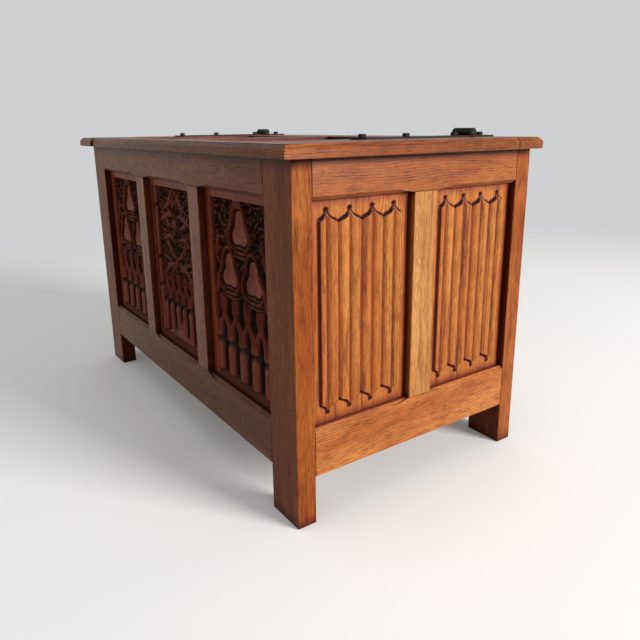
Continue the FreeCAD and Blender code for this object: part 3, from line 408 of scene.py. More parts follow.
def linenfold_rule():
    """Raises a board's front into folds. X is across the folds, Y along them and Z outward."""
    tree = bpy.data.node_groups.new("linenfold", "GeometryNodeTree")
    tree.interface.new_socket("Geometry", in_out="INPUT", socket_type="NodeSocketGeometry")
    fold_sizes = ("Fold Pitch", "Fold Crest", "Fold Valley")
    cloth_sizes = ("Half Width", "Half Height", "Hem Rise", "Gouge Depth")
    for name in fold_sizes + cloth_sizes:
        tree.interface.new_socket(name, in_out="INPUT", socket_type="NodeSocketFloat")
    tree.interface.new_socket("Oak", in_out="INPUT", socket_type="NodeSocketMaterial")
    tree.interface.new_socket("Geometry", in_out="OUTPUT", socket_type="NodeSocketGeometry")
    given = tree.nodes.new("NodeGroupInput").outputs
    spot = wire(tree, "GeometryNodeInputPosition").outputs[0]
    x, y, z = wire(tree, "ShaderNodeSeparateXYZ", spot).outputs
    aside = arithmetic(tree, "ABSOLUTE", x)
    along = arithmetic(tree, "ABSOLUTE", y)

    folds = arithmetic(tree, "DIVIDE", x, given["Fold Pitch"])
    sideways = arithmetic(tree, "MULTIPLY_ADD", arithmetic(tree, "FRACT", folds), 2.0, -1.0)
    from_crest = arithmetic(tree, "ABSOLUTE", sideways)
    crown = difference(tree, 1.0, arithmetic(tree, "POWER", from_crest, FOLD_ROUNDNESS))
    swell = difference(tree, given["Fold Crest"], given["Fold Valley"])
    fold = arithmetic(tree, "MULTIPLY_ADD", crown, swell, given["Fold Valley"])

    from_notch = arithmetic(tree, "ABSOLUTE", arithmetic(tree, "WRAP", folds, 1.0, -1.0))
    hem = tree.nodes.new("ShaderNodeFloatCurve")
    tree.links.new(from_notch, hem.inputs["Value"])
    outline = hem.mapping.curves[0]
    for share, rise in HEM_CURVE:
        outline.points.new(share, rise)
    hem.mapping.update()
    drop = product(tree, difference(tree, 1.0, hem.outputs[0]), given["Hem Rise"])
    to_hem = difference(tree, difference(tree, given["Half Height"], drop), along)
    to_side = difference(tree, given["Half Width"], aside)
    cloth = product(tree, ease(tree, to_hem, *CLOTH_EDGE), ease(tree, to_side, *CLOTH_EDGE))
    between_sides = ease(tree, to_side, *SIDE_EDGE)

    from_tip = difference(tree, along, given["Half Height"])
    beside_tip = product(tree, difference(tree, 1.0, from_notch), given["Fold Pitch"])
    past_tip = product(tree, from_tip, GOUGE_FLATTENING)
    away = wire(tree, "ShaderNodeCombineXYZ", beside_tip, past_tip).outputs[0]
    reach = wire(tree, "ShaderNodeVectorMath", away, operation="LENGTH").outputs["Value"]
    gouge = fall(tree, reach, *GOUGE_REACH)
    near_tip = arithmetic(tree, "POWER", from_notch, 3.0)
    line_width = arithmetic(tree, "MULTIPLY_ADD", near_tip, HEM_LINE_SWELL, HEM_LINE_WIDTH)
    past_hem = difference(tree, HEM_LINE_START, to_hem)
    line = fall(tree, arithmetic(tree, "DIVIDE", past_hem, line_width), 0.35, 1.0)
    line = product(tree, line, ease(tree, past_hem, 0.0, 0.0005))
    sunk = larger(tree, product(tree, line, HEM_LINE_SHARE), gouge)
    cut = product(tree, product(tree, sunk, between_sides), given["Gouge Depth"])
    height = difference(tree, product(tree, cloth, fold), cut)

    # Painted shade: the valleys, side steps, hem lines, gouges and the board by the frame are darkened.
    valley_shade = fall(tree, difference(tree, 1.0, from_crest), 0.02, 0.26)
    valley_shade = product(tree, product(tree, valley_shade, cloth), FOLD_SHADE)
    side_step = arithmetic(tree, "ABSOLUTE", arithmetic(tree, "ADD", to_side, -CLOTH_EDGE[0]))
    past_side = product(tree, ease(tree, side_step, 0.0004, 0.0024), SIDE_STEP_SHADE)
    side_shade = difference(tree, SIDE_STEP_SHADE, past_side)
    side_shade = product(tree, side_shade, ease(tree, to_hem, *SIDE_EDGE))
    past_line = ease(tree, difference(tree, past_hem, line_width), -0.0006, 0.0010)
    in_line = difference(tree, ease(tree, past_hem, -0.0018, -0.0004), past_line)
    in_gouge = fall(tree, reach, *GOUGE_SHADE_REACH)
    cut_shade = product(tree, larger(tree, in_line, in_gouge), between_sides)
    line_shade = larger(tree, valley_shade, larger(tree, side_shade, cut_shade))
    beside_edge = difference(tree, arithmetic(tree, "ADD", given["Half Width"], BORDER_BESIDE), aside)
    above_edge = difference(tree, arithmetic(tree, "ADD", given["Half Height"], BORDER_ABOVE), along)
    to_edge = arithmetic(tree, "MINIMUM", beside_edge, above_edge)
    edge_shade = product(tree, fall(tree, to_edge, 0.0, BORDER_REACH), BORDER_SHADE)
    stain_and_painted_shade = larger(tree, line_shade, edge_shade)

    in_front = wire(tree, "FunctionNodeCompare", z, FRONT_LEVEL, operation="GREATER_THAN").outputs[0]
    kept_shade = ("GeometryNodeStoreNamedAttribute", given["Geometry"], in_front, "stain_and_painted_shade", stain_and_painted_shade)
    marked = wire(tree, *kept_shade, data_type="FLOAT").outputs[0]
    offset = wire(tree, "ShaderNodeCombineXYZ", 0.0, 0.0, height).outputs[0]
    raised = wire(tree, "GeometryNodeSetPosition", marked, in_front, None, offset).outputs[0]
    smooth = wire(tree, "GeometryNodeSetShadeSmooth", raised).outputs[0]
    whole = wire(tree, "GeometryNodeRealizeInstances", smooth).outputs[0]
    painted = wire(tree, "GeometryNodeSetMaterial", whole)
    tree.links.new(given["Oak"], painted.inputs["Material"])
    tree.links.new(painted.outputs[0], tree.nodes.new("NodeGroupOutput").inputs["Geometry"])
    return tree


def carried_out(blank, tree, **sizes):
    """The plain mesh that the tree makes from a blank."""
    modifier = blank.modifiers.new(tree.name, "NODES")
    modifier.node_group = tree
    for item in tree.interface.items_tree:
        key = item.name.lower().replace(" ", "_")
        if item.in_out == "INPUT" and key in sizes:
            modifier[item.identifier] = sizes[key]
    graph = bpy.context.evaluated_depsgraph_get()
    mesh = bpy.data.meshes.new_from_object(blank.evaluated_get(graph))
    bpy.data.objects.remove(blank)
    return mesh


def wall_frame(middle, across, outward):
    """The matrix from a board's own frame to its place in the wall."""
    upward = Vector((0, 0, 1))
    axes = Matrix((Vector(across), upward, Vector(outward))).transposed()
    return Matrix.Translation(middle) @ axes.to_4x4()


def stand_in(name, mesh, node, body):
    """The finished piece: it rides its body and takes the place of its CAD node."""
    piece = bpy.data.objects.new(name, mesh)
    bpy.context.scene.collection.objects.link(piece)
    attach(piece, body)
    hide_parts(node)


LINENFOLD = linenfold_rule()
FOLD_CREST = 0.006
END_STEP = 0.0013
for side, outward in (("left", -1.0), ("right", 1.0)):
    for number in (1, 2):
        node = f"{side}_panel_{number}"
        lowest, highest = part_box(node)
        size = highest - lowest
        flat = (highest.x if outward > 0 else lowest.x) - outward * FOLD_CREST
        middle = ((lowest + highest) / 2).yz
        board, _ = tongued_board(f"{node}_blank", size.y, size.z, size.x - FOLD_CREST, END_STEP)
        blank = bpy.data.objects.new(f"{node}_blank", board)
        bpy.context.scene.collection.objects.link(blank)
        pith = (0.02 * number, 0.10)
        figure = {"pith": pith, "tone": 0.97, "corner_reach": 0.006}
        mesh = carried_out(
            blank,
            LINENFOLD,
            fold_pitch=0.022,
            fold_crest=FOLD_CREST,
            fold_valley=0.0010,
            half_width=0.080,
            half_height=0.162,
            hem_rise=0.021,
            gouge_depth=0.0045,
            oak=stained_oak(f"oak_{node}", (lowest, highest), "Z", PANEL_OAK, **figure),
        )
        mesh.transform(wall_frame((flat, *middle), (0.0, outward, 0.0), (outward, 0.0, 0.0)))
        stand_in(f"linenfold_{node}", mesh, node, "case")

# The front panels: Gothic tracery, all of it sunk below the flat of the oak board. The carver's hollows are
# painted much darker, as stain held there and as painted shade. The two outer panels are alike: three
# bell-shaped lights among leaves, over crossing arches and a row of ribs. The middle one has leaves about a
# rose, between fluted borders.
CARVED_OAK = {
    "pale": (0.54, 0.128, 0.028, 1.0),
    "warm": (0.36, 0.068, 0.015, 1.0),
    "dark": (0.07, 0.014, 0.006, 1.0),
    "ray": (0.42, 0.13, 0.040, 1.0),
    "painted_shade": (0.020, 0.012, 0.010, 1.0),
}
# The carver's measures are in mm: X from the panel's middle line, Z from the floor, heights from the flat.
GROUND = -13.0
CREST = -1.0
CARVING_HEAD = 505.0
# How dark the hollows are painted, with stain and painted shade, and the sill at the foot, with painted
# shade.
HOLLOW_STAIN_AND_SHADE = 0.97
SILL_SHADE = 0.70
SILL_SHADE_FOOT = (158.0, 166.0)
SILL_SHADE_HEAD = 182.0


def dome(distance, half):
    """A round moulding's share of its height, by the distance from its middle line."""
    return np.sqrt(np.clip(1.0 - (distance / half) ** 2, 0.0, 1.0))


def ramp(value, low, high):
    """0 below the low value, 1 above the high one, smooth between."""
    share = np.clip((value - low) / (high - low), 0.0, 1.0)
    return share * share * (3.0 - 2.0 * share)


def leaf(x, z, root, angle, length, half_width, crown=CREST):
    """A lobed leaf with a sunk vein, from its root along the angle."""
    vein_half, vein_share = 0.9, 0.18
    cosine = math.cos(math.radians(angle))
    sine = math.sin(math.radians(angle))
    along = (x - root[0]) * cosine + (z - root[1]) * sine
    across = (z - root[1]) * cosine - (x - root[0]) * sine
    share = np.clip(along / length, 0.0, 1.0)
    lobes = 0.80 + 0.20 * np.cos(share * 5.0 * math.pi)
    half = half_width * np.sin(math.pi * share ** 0.7) * lobes + 0.02
    lift = dome(across, half) * (along > 0.0) * (along < length)
    vein = np.exp(-((across / vein_half) ** 2))
    return GROUND + (crown - GROUND) * lift * (1.0 - vein_share * vein)


def spray(x, z, relief, root, turns, length, half_width, crown):
    """Leaves that spring from one root."""
    for turn in turns:
        relief = np.maximum(relief, leaf(x, z, root, turn, length, half_width, crown))
    return relief


def ridge(distance, half, crown=CREST):
    """A round bead on the ground."""
    return GROUND + (crown - GROUND) * dome(distance, half)


def roll(distance, half, crown=CREST):
    """A rib with sloping cheeks, which drop steeply to the ground at their edges."""
    cheek_fall = 6.5
    share = np.abs(distance) / half
    cheek = crown - cheek_fall * share ** 1.15
    return cheek + (GROUND - cheek) * ramp(share, 0.68, 0.96)


def leafwork(x, z, relief, allowed, seed, spacing=13.0):
    """Covers the ground that is allowed with small leaves that overlap like shingles."""
    row_rise = spacing * 0.8
    lean = 55.0
    spread = np.random.default_rng(seed)
    for row, height in enumerate(np.arange(z.min(), z.max(), row_rise)):
        for place in np.arange(x.min() + spacing * 0.5 * (row % 2), x.max(), spacing):
            root = (place + spread.uniform(-2.0, 2.0), height + spread.uniform(-2.0, 2.0))
            turn = 90.0 - lean * np.sign(root[0]) + spread.uniform(-45.0, 45.0)
            length = spread.uniform(12.0, 18.0)
            half_width = spread.uniform(4.0, 5.5)
            crown = spread.uniform(-6.5, -3.2)
            shape = leaf(x, z, root, turn, length, half_width, crown)
            relief = np.where(allowed, np.maximum(relief, shape), relief)
    return relief


def bell(x, z, centre, radius, point):
    """Distance outside a bell-shaped outline, three-cornered and drawn up to a point."""
    reach = np.hypot(x - centre[0], z - centre[1])
    from_top = np.arctan2(x - centre[0], z - centre[1])
    upward = np.clip(np.cos(from_top), 0.0, 1.0)
    return reach - radius * (1.0 + 0.20 * np.cos(3.0 * from_top) + point * upward ** 8)


def sill(z, foot, slope):
    """The weathered slope at the foot of the carving."""
    return np.minimum(0.0, CREST - (z - foot) * slope)


def from_nearest(x, pitch):
    """Distance from the nearest of a row of middle lines."""
    return (np.mod(x / pitch + 0.5, 1.0) - 0.5) * pitch


def hanging_folds(x, z, pitch, top, foot, hang):
    """A row of rounded folds whose lower ends hang like tongues, with the ground between and below them."""
    from_fold = from_nearest(x, pitch)
    lower_end = foot + hang * (1.0 - dome(from_fold, pitch / 2))
    return np.where((z < top) & (z > lower_end), roll(from_fold, 0.48 * pitch), GROUND)


LIGHT_RADIUS = 25.0
LIGHT_POINT = 0.40
LIGHT_EDGE = -5.0
LIGHT_FLOOR = -9.0
RIM_FOOT = 2.0
RIM_TOP = 9.0
RIM_END = 16.0
CRESCENTS = ((5.0, 4.2), (14.0, 4.6), (22.0, 3.8))
CRESCENT_SWING = 68.0


def light(x, z, relief, centre):
    """One bell-shaped light: a dished floor, a deep line, a coved rim, and crescents of leaf under it."""
    outside = bell(x, z, centre, LIGHT_RADIUS, LIGHT_POINT)
    up_rim = np.clip((outside - RIM_FOOT) / (RIM_TOP - RIM_FOOT), 0.0, 1.0)
    rim = GROUND + (CREST - GROUND) * up_rim ** 1.8
    from_middle = np.clip(outside + LIGHT_RADIUS, 0.0, LIGHT_RADIUS)
    dish = LIGHT_FLOOR + (LIGHT_EDGE - LIGHT_FLOOR) * (from_middle / LIGHT_RADIUS) ** 2
    floor = dish + (GROUND - dish) * ramp(outside, -1.5, 0.5)
    outer = CREST - 11.0 * ramp(outside, 10.5, RIM_END)
    relief = np.where(outside < RIM_TOP, np.where(outside < 0.8, floor, rim), relief)
    relief = np.where((outside >= RIM_TOP) & (outside < RIM_END), np.maximum(relief, outer), relief)
    swing = np.degrees(np.arctan2(x - centre[0], centre[1] - z))
    taper = np.clip(1.0 - (swing / CRESCENT_SWING) ** 2, 0.0, 1.0)
    for distance, half in CRESCENTS:
        from_band = outside - distance
        band = ridge(from_band, half * taper + 0.01, -4.5 - 3.0 * (1.0 - taper))
        relief = np.where(np.abs(from_band) < 4.6 * taper + 0.01, np.maximum(band, GROUND), relief)
    return relief


def interlace(x, z, relief, pitch, columns, low, high):
    """Ogee arches that spring from every rib and cross their neighbours."""
    split = ramp(z, low + 0.2 * (high - low), low + 0.8 * (high - low))
    for column in columns:
        for side in (-1.0, 1.0):
            middle = column + side * pitch * (0.11 + 0.53 * split)
            strand = roll(x - middle, pitch * (0.32 - 0.11 * split), CREST - 0.8 - 0.8 * side)
            relief = np.where((z > low) & (z < high), np.maximum(relief, strand), relief)
    return relief


def ribs_under_arches(x, z, relief, pitch, top, foot, hang):
    """The row of hanging ribs, with their heads tucked in behind the arches' hanging feet."""
    tuck_depth, tuck_run = 6.5, 22.0
    lower_end = top + hang * (1.0 - dome(from_nearest(x, pitch), pitch / 2))
    ribs = hanging_folds(x, z, pitch, top + 2.0 * hang, foot, hang)
    tucked = tuck_depth * (1.0 - ramp(lower_end - z, 0.0, tuck_run))
    return np.where(z <= lower_end, np.maximum(ribs - tucked, GROUND), relief)


def hollow_stain_and_shade(relief):
    """How dark the hollows are painted, by depth: stain that they hold and painted shade; the crests are
    wiped.
    """
    return HOLLOW_STAIN_AND_SHADE * ramp(-relief, 2.0, 7.5)


def sunk_in_board(x, z, relief, half_width):
    """Ends the carving at its edges. Gives the relief, the distance from the edges and the painted shade at
    the sill.
    """
    inside = np.minimum(half_width - np.abs(x), CARVING_HEAD - z)
    relief = relief * ramp(inside, -0.8, 1.2)
    sill_shade = ramp(SILL_SHADE_HEAD - z, 0.0, 4.0) * ramp(inside, 0.0, 1.2) * ramp(z, *SILL_SHADE_FOOT)
    return relief, inside, SILL_SHADE * sill_shade


TOP_LIGHT = (0.0, 450.0)
LIGHTS = (TOP_LIGHT, (-43.5, 371.0), (43.5, 370.0))
OUTER_HALF = 98.0
OUTER_PITCH = 45.0
OUTER_SHIFT = 4.0
OUTER_ARCHES = (245.0, 330.0)
OUTER_RIB_FOOT = 176.0
OUTER_HANG = 15.0
HOOD_RADIUS = 41.0
HOOD_POINT = 0.16
HOOD_FOOT = 436.0
FINIAL = (0.0, 492.0)
SIDE_LEAVES = ((398.0, 75.0), (330.0, 80.0))
SIDE_LEAF_ROOT = 90.0
ARCH_SHADE = 0.42
LEAF_SHADE = 0.40


def tracery(x, z):
    """The outer panels' relief, and their stain and painted shade."""
    arch_foot, arch_head = OUTER_ARCHES
    along_row = x + OUTER_SHIFT
    columns = [OUTER_PITCH * step for step in (-2, -1, 0, 1, 2)]
    relief = np.full_like(x, GROUND)
    rim = np.min([bell(x, z, centre, LIGHT_RADIUS, LIGHT_POINT) for centre in LIGHTS], axis=0)
    relief = leafwork(x, z, relief, (rim > 14.0) & (z > arch_head), seed=5)
    relief = interlace(along_row, z, relief, OUTER_PITCH, columns, arch_foot, arch_head)
    relief = ribs_under_arches(along_row, z, relief, OUTER_PITCH, arch_foot, OUTER_RIB_FOOT, OUTER_HANG)
    relief = np.maximum(relief, sill(z, foot=168.0, slope=0.55))

    hood = ridge(bell(x, z, TOP_LIGHT, HOOD_RADIUS, HOOD_POINT), half=4.0, crown=-0.4)
    relief = np.where(z > HOOD_FOOT, np.maximum(relief, hood), relief)
    for centre in LIGHTS:
        relief = light(x, z, relief, centre)
    relief = spray(x, z, relief, FINIAL, (25.0, 90.0, 155.0), length=22.0, half_width=5.0, crown=-0.4)
    for side in (-1.0, 1.0):
        for height, turn in SIDE_LEAVES:
            root = (side * SIDE_LEAF_ROOT, height)
            inward = turn if side < 0 else 180.0 - turn
            relief = spray(x, z, relief, root, (inward,), length=46.0, half_width=9.0, crown=-0.6)

    relief, inside, sill_shade = sunk_in_board(x, z, relief, OUTER_HALF)
    on_arches = ARCH_SHADE * ramp(z, 240.0, 262.0) * ramp(-z, -345.0, -325.0)
    about_lights = LEAF_SHADE * ramp(z, arch_head, 345.0) * ramp(rim, 0.5, 2.0)
    shade = np.maximum(on_arches, about_lights) * (inside > 0.0)
    hollows = hollow_stain_and_shade(relief) * ramp(rim, -2.0, -0.5)
    return relief, np.maximum(np.maximum(hollows, sill_shade), shade)


def stroke(x, z, relief, points, half, crown):
    """A long lobed leaf along a bent line of points, broad in the middle and thin at its ends."""
    smoothing = 7
    ends = np.linspace(0.0, 1.0, len(points))
    steps = np.linspace(0.0, 1.0, 41)
    path = []
    for axis in (0, 1):
        bent = np.interp(steps, ends, [point[axis] for point in points])
        padded = np.pad(bent, smoothing // 2, mode="edge")
        path.append(np.convolve(padded, np.full(smoothing, 1 / smoothing), mode="valid"))
    for step, centre_x, centre_z in zip(steps, *path):
        lobes = 1.0 + 0.40 * math.cos(10.0 * math.pi * step)
        width = half * (0.30 + 0.70 * math.sin(math.pi * step)) * lobes
        relief = np.maximum(relief, ridge(np.hypot(x - centre_x, z - centre_z), width, crown))
    return relief


ROSE = (0.0, 432.0)
STEM_FOOT = (0.0, 340.0)
PLUME = (0.0, 470.0)
# Each sweep of leaf: the points of its bent line on the right half, its half width and its crest.
SWEEPS = (
    (((2, 356), (24, 366), (46, 388), (60, 414)), 7.5, -2.5),
    (((6, 346), (34, 342), (58, 330), (78, 308)), 7.0, -3.5),
    (((4, 330), (20, 338), (46, 352), (80, 356)), 6.0, -4.5),
    (((8, 446), (30, 450), (54, 444), (80, 430)), 7.0, -2.5),
    (((0, 504), (18, 488), (32, 468), (60, 458)), 7.0, -2.5),
    (((16, 420), (36, 428), (52, 436), (82, 468)), 6.0, -4.0),
    (((14, 396), (30, 404), (48, 402), (82, 388)), 6.0, -4.0),
)
INNER_HALF = 85.0
BORDER_MIDDLE = 99.0
BORDER_HALF = 12.0
KNOTS = (285.0, 348.0, 462.0)
KNOT_DEPTH = -9.0
MIDDLE_HALF = 112.0
MIDDLE_PITCH = 34.0
MIDDLE_ARCHES = (262.0, 322.0)
MIDDLE_RIB_FOOT = 184.0
MIDDLE_HANG = 11.0
MIDDLE_SHADE = 0.45
GABLE_HALF = 66.0
GABLE_RISE = 26.0
GABLE_BOTTOM = 180.0
GABLE_FLOOR = -3.4
GABLE_TOP = (0.0, 208.0)


def rose_panel(x, z):
    """The middle panel's relief, stain and painted shade: leaves sweep about a rose, over arches, ribs and a
    low gable.
    """
    aside = np.abs(x)
    inner = aside < INNER_HALF
    arch_foot, arch_head = MIDDLE_ARCHES
    columns = [MIDDLE_PITCH * step for step in (-2.5, -1.5, -0.5, 0.5, 1.5, 2.5)]
    middle = np.full_like(x, GROUND)
    middle = leafwork(x, z, middle, inner & (z > 300.0), seed=11, spacing=11.0)
    middle = interlace(x, z, middle, MIDDLE_PITCH, columns, arch_foot, arch_head)
    along_row = x - MIDDLE_PITCH / 2
    middle = ribs_under_arches(
        along_row, z, middle, MIDDLE_PITCH, arch_foot, MIDDLE_RIB_FOOT, MIDDLE_HANG
    )
    for side in (-1.0, 1.0):
        for points, half, crown in SWEEPS:
            middle = stroke(x * side, z, middle, points, half, crown)
    middle = spray(x, z, middle, ROSE, range(30, 390, 60), length=17.0, half_width=6.0, crown=-1.5)
    middle = spray(x, z, middle, STEM_FOOT, (90.0,), length=26.0, half_width=9.0, crown=-0.8)
    middle = spray(x, z, middle, PLUME, (35.0, 90.0, 145.0), length=26.0, half_width=7.0, crown=-1.5)

    gable = MIDDLE_RIB_FOOT + GABLE_RISE * np.clip(1.0 - aside / GABLE_HALF, 0.0, 1.0) ** 1.7
    gable_edge = ridge(z - gable, half=3.4, crown=-0.6)
    middle = np.where((z > GABLE_BOTTOM) & (z < gable), GABLE_FLOOR, middle)
    middle = np.where(aside < GABLE_HALF, np.maximum(middle, gable_edge), middle)
    gable_leaves = (30.0, 90.0, 150.0)
    middle = spray(x, z, middle, GABLE_TOP, gable_leaves, length=17.0, half_width=5.0, crown=-0.8)

    across_border = aside - BORDER_MIDDLE
    flute = CREST - 11.0 * (np.abs(across_border) / BORDER_HALF) ** 2.0
    relief = np.where(inner, middle, np.maximum(flute, GROUND))
    for height in KNOTS:
        from_knot = np.abs(z - height + 0.5 * across_border)
        knot = KNOT_DEPTH - KNOT_DEPTH * ramp(from_knot, 1.0, 5.0)
        relief = np.where(inner, relief, np.minimum(relief, knot))
    relief = np.maximum(relief, sill(z, foot=170.0, slope=0.7))

    relief, inside, sill_shade = sunk_in_board(x, z, relief, MIDDLE_HALF)
    shade = MIDDLE_SHADE * ramp(z, 252.0, 272.0) * ramp(inside, 0.0, 1.2) * inner
    return relief, np.maximum(np.maximum(hollow_stain_and_shade(relief), sill_shade), shade)


FRONT_STEP = 0.0011
MM = 1000.0
for number, design in ((1, tracery), (2, rose_panel), (3, tracery)):
    node = f"front_panel_{number}"
    lowest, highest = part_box(node)
    size = highest - lowest
    mesh, count = tongued_board(node, size.x, size.z, size.y, FRONT_STEP)
    places = np.empty(len(mesh.vertices) * 3)
    mesh.vertices.foreach_get("co", places)
    places = places.reshape(-1, 3)
    middle_height = (lowest.z + highest.z) / 2
    relief, stain_and_shade = design(places[:count, 0] * MM, (places[:count, 1] + middle_height) * MM)
    places[:count, 2] = relief / MM
    stain_and_painted_shade = np.zeros(len(mesh.vertices))
    stain_and_painted_shade[:count] = stain_and_shade
    mesh.attributes.new("stain_and_painted_shade", "FLOAT", "POINT").data.foreach_set("value", stain_and_painted_shade)
    mesh.vertices.foreach_set("co", places.ravel())
    mesh.polygons.foreach_set("use_smooth", np.ones(len(mesh.polygons), dtype=bool))
    centre = ((lowest.x + highest.x) / 2, lowest.y, middle_height)
    mesh.transform(wall_frame(centre, (1.0, 0.0, 0.0), (0.0, -1.0, 0.0)))
    figure = {"pith": (0.03, 0.12), "tone": 1.08, "corner_reach": 0.007, "shine": 0.14}
    mesh.materials.append(stained_oak(f"oak_{node}", (lowest, highest), "Z", CARVED_OAK, **figure))
    stand_in(f"carved_{node}", mesh, node, "case")

# The back panels: three plain oak boards, stained like the frame. Their edges are thinned to a tongue, which
# sits in the grooves of the back's rails, posts and muntins.
for panel in ("back_panel_1", "back_panel_2", "back_panel_3"):
    finish_board(panel, "Z", FRAME_OAK)

# The bottom: seven oak boards that run from front to back and lie loose on two bearers. Each bearer is an oak
# strip, screwed to the inside of a bottom rail.
for board in sorted(name for name in nodes if name.startswith("bottom_board")):
    finish_board(board, "Y", FRAME_OAK)
for bearer in ("front_bearer", "back_bearer"):
    finish_board(bearer, "X", FRAME_OAK)

# The top: a strip that is dowelled to the back rail and stays fixed, and the lid in front of it. The lid is a
# joined frame with two sunk panels, between two end cleats. All of it is dark oak with a low sheen.
LID_OAK = {
    "pale": (0.40, 0.120, 0.026, 1.0),
    "warm": (0.27, 0.066, 0.012, 1.0),
    "dark": (0.06, 0.014, 0.005, 1.0),
    "ray": (0.46, 0.19, 0.060, 1.0),
    "painted_shade": (0.022, 0.008, 0.006, 1.0),
}
LID_SHINE = 0.17
for board in ("fixed_back_strip", "lid_front_rail", "lid_back_rail", "lid_left_panel", "lid_right_panel"):
    finish_board(board, "X", LID_OAK, shine=LID_SHINE)
for board in ("lid_left_cleat", "lid_right_cleat", "lid_left_stile", "lid_right_stile", "lid_muntin"):
    finish_board(board, "Y", LID_OAK, shine=LID_SHINE, tone=1.08)
finish_board("strip_dowels", "Z", FRAME_OAK)

# The hinges: a forged strap and rear leaf each, which turn on a pin and are held by square-headed bolts.
# They and the bearers' screws are iron, blackened hot in oil. The hammer has left its marks, the arrises
# are rubbed to bare grey, and a little rust sits in scattered patches.
BLACK = (0.008, 0.006, 0.005, 1.0)
WORN_BLACK = (0.024, 0.018, 0.014, 1.0)
RUST = (0.065, 0.022, 0.009, 1.0)
BARE_IRON = (0.10, 0.095, 0.09, 1.0)
HAMMER_SCALE = (120.0, 120.0, 120.0)
FIRE_SCALE = (520.0, 520.0, 520.0)
RUST_SCALE = (75.0, 75.0, 75.0)
RUST_SHARE = 0.55
IRON_ARRIS = 0.0015
HAMMER_DEPTH = 0.0012


def blackened_iron():
    material = bpy.data.materials.new("blackened_iron")
    material.use_nodes = True
    tree = material.node_tree
    shader = tree.nodes["Principled BSDF"]
    place = wire(tree, "ShaderNodeTexCoord").outputs["Object"]
    hammered = stretched(tree, place, HAMMER_SCALE, 2.0)
    scaly = stretched(tree, place, FIRE_SCALE, 3.0, 0.6)
    black = blend(tree, hammered, BLACK, WORN_BLACK)
    rust = ease(tree, stretched(tree, place, RUST_SCALE, 5.0, 0.65), 0.56, 0.70)
    rusted = blend(tree, product(tree, rust, RUST_SHARE), black, RUST)
    bright = product(tree, rubbed_arris(tree, IRON_ARRIS), ease(tree, scaly, 0.40, 0.60))
    tree.links.new(blend(tree, bright, rusted, BARE_IRON), shader.inputs["Base Color"])
    dull = arithmetic(tree, "MULTIPLY_ADD", scaly, 0.25, 0.42)
    tree.links.new(arithmetic(tree, "MULTIPLY_ADD", rust, 0.30, dull), shader.inputs["Roughness"])
    dents = arithmetic(tree, "MULTIPLY_ADD", scaly, 0.25, hammered)
    dent(tree, shader, dents, strength=0.45, depth=HAMMER_DEPTH)
    shader.inputs["Metallic"].default_value = 0.15
    shader.inputs["Specular IOR Level"].default_value = 0.15
    return material


IRON = blackened_iron()
for node in sorted(name for name in nodes if "hinge" in name or name == "bearer_screws"):
    nodes[node].data.materials.clear()
    nodes[node].data.materials.append(IRON)

# The floor, the light and the camera. Daylight comes from behind the chest's right end, so the end is bright
# and the front stays in shade. The room that shows behind, and in the varnish, is pale.
FLOOR_HALF = 14.0
FLOOR_SEEN = (0.82, 0.82, 0.82, 1.0)
FLOOR_BOUNCE = (0.22, 0.22, 0.22, 1.0)
SHADOW_REACH = 0.45
SHADOW_GLOW = 0.13
OPEN_FLOOR_GLOW = 0.23
FADE_FROM, FADE_TO = 1.3, 3.4
WHITE = (1.0, 1.0, 1.0, 1.0)
floor_corners = [(x * FLOOR_HALF, y * FLOOR_HALF, 0.0) for x, y in ((-1, -1), (1, -1), (1, 1), (-1, 1))]
floor_mesh = bpy.data.meshes.new("floor")
floor_mesh.from_pydata(floor_corners, [], [(0, 1, 2, 3)])
floor = bpy.data.objects.new("floor", floor_mesh)
bpy.context.scene.collection.objects.link(floor)


def seen_directly(tree):
    """1 for the camera's own rays and for what shows in a gloss."""
    path = wire(tree, "ShaderNodeLightPath")
    shown = larger(tree, path.outputs["Is Camera Ray"], path.outputs["Is Glossy Ray"])
    return larger(tree, shown, path.outputs["Is Transmission Ray"])


pale_floor = bpy.data.materials.new("pale_floor")
pale_floor.use_nodes = True
floor_tree = pale_floor.node_tree
floor_paint = floor_tree.nodes["Principled BSDF"]
paint = blend(floor_tree, seen_directly(floor_tree), FLOOR_BOUNCE, FLOOR_SEEN)
floor_tree.links.new(paint, floor_paint.inputs["Base Color"])
floor_paint.inputs["Roughness"].default_value = 0.8
floor_paint.inputs["Specular IOR Level"].default_value = 0.0
floor_paint.inputs["Emission Color"].default_value = WHITE
# Painted shadow: the floor glows, though it is no lamp, and the glow fades near the chest by occlusion.
floor_shadow_occlusion = wire(floor_tree, "ShaderNodeAmbientOcclusion", samples=8)
floor_shadow_occlusion.inputs["Distance"].default_value = SHADOW_REACH
clear = ease(floor_tree, floor_shadow_occlusion.outputs["AO"], 0.20, 0.95)
painted_floor_glow = arithmetic(floor_tree, "MULTIPLY_ADD", clear, OPEN_FLOOR_GLOW, SHADOW_GLOW)
glow = product(floor_tree, seen_directly(floor_tree), painted_floor_glow)
floor_tree.links.new(glow, floor_paint.inputs["Emission Strength"])
spot = wire(floor_tree, "ShaderNodeTexCoord").outputs["Object"]
far = wire(floor_tree, "ShaderNodeVectorMath", spot, operation="LENGTH").outputs["Value"]
fade = ease(floor_tree, far, FADE_FROM, FADE_TO)
mixed = wire(floor_tree, "ShaderNodeMixShader", fade, floor_paint.outputs[0])
floor_tree.links.new(wire(floor_tree, "ShaderNodeBsdfTransparent").outputs[0], mixed.inputs[2])
floor_tree.links.new(mixed.outputs[0], floor_tree.nodes["Material Output"].inputs["Surface"])
floor_mesh.materials.append(pale_floor)

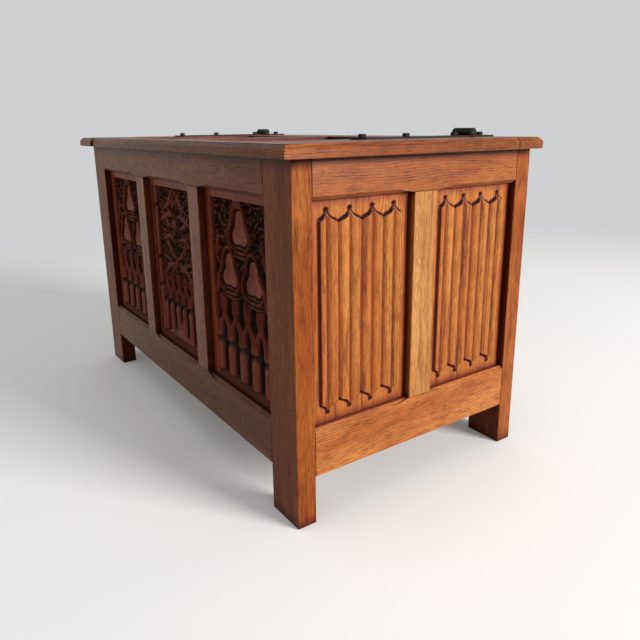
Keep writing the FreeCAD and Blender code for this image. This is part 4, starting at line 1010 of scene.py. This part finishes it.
ROOM_COLOUR = (0.965, 0.98, 1.0, 1.0)
ROOM_LIT, ROOM_SEEN = 0.12, 0.64
world = bpy.data.worlds.new("room")
bpy.context.scene.world = world
world.use_nodes = True
room = world.node_tree
walls = room.nodes["Background"]
walls.inputs["Color"].default_value = ROOM_COLOUR
strength = wire(room, "ShaderNodeMapRange", seen_directly(room), 0.0, 1.0, ROOM_LIT, ROOM_SEEN)
room.links.new(strength.outputs["Result"], walls.inputs["Strength"])


def soft_lamp(name, place, target, size, watts, colour):
    """A rectangle of light that faces its target."""
    lamp = bpy.data.lights.new(name, "AREA")
    lamp.shape = "RECTANGLE"
    lamp.size, lamp.size_y = size
    lamp.energy = watts
    lamp.color = colour
    holder = bpy.data.objects.new(name, lamp)
    holder.location = place
    holder.rotation_euler = (Vector(target) - Vector(place)).to_track_quat("-Z", "Y").to_euler()
    bpy.context.scene.collection.objects.link(holder)


soft_lamp(
    "window",
    place=(5.2, 2.3, 2.2),
    target=(0.2, 0.0, 0.3),
    size=(2.2, 1.8),
    watts=448.0,
    colour=(1.0, 0.97, 0.93),
)
soft_lamp(
    "room_side",
    place=(-2.2, -4.2, 1.6),
    target=(-0.1, 0.0, 0.3),
    size=(4.4, 2.4),
    watts=36.0,
    colour=(1.0, 0.96, 0.92),
)

CAMERA_PLACE = (1.19234, -0.69055, 0.62219)
CAMERA_TILT = math.radians(-0.633)
looking = Vector((-0.79381911, 0.5500498, -0.25941556)).normalized()
camera_data = bpy.data.cameras.new("camera")
camera = bpy.data.objects.new("camera", camera_data)
bpy.context.scene.collection.objects.link(camera)
camera_data.sensor_width = 36.0
camera_data.lens = 34.196
camera_data.shift_y = -0.0468
right = looking.cross(Vector((0, 0, 1))).normalized()
upward = right.cross(looking)
tilted_right = right * math.cos(CAMERA_TILT) + upward * math.sin(CAMERA_TILT)
tilted_up = upward * math.cos(CAMERA_TILT) - right * math.sin(CAMERA_TILT)
axes = Matrix((tilted_right, tilted_up, -looking)).transposed()
camera.matrix_world = Matrix.Translation(CAMERA_PLACE) @ axes.to_4x4()
bpy.context.scene.camera = camera
bpy.context.scene.view_settings.view_transform = "Standard"
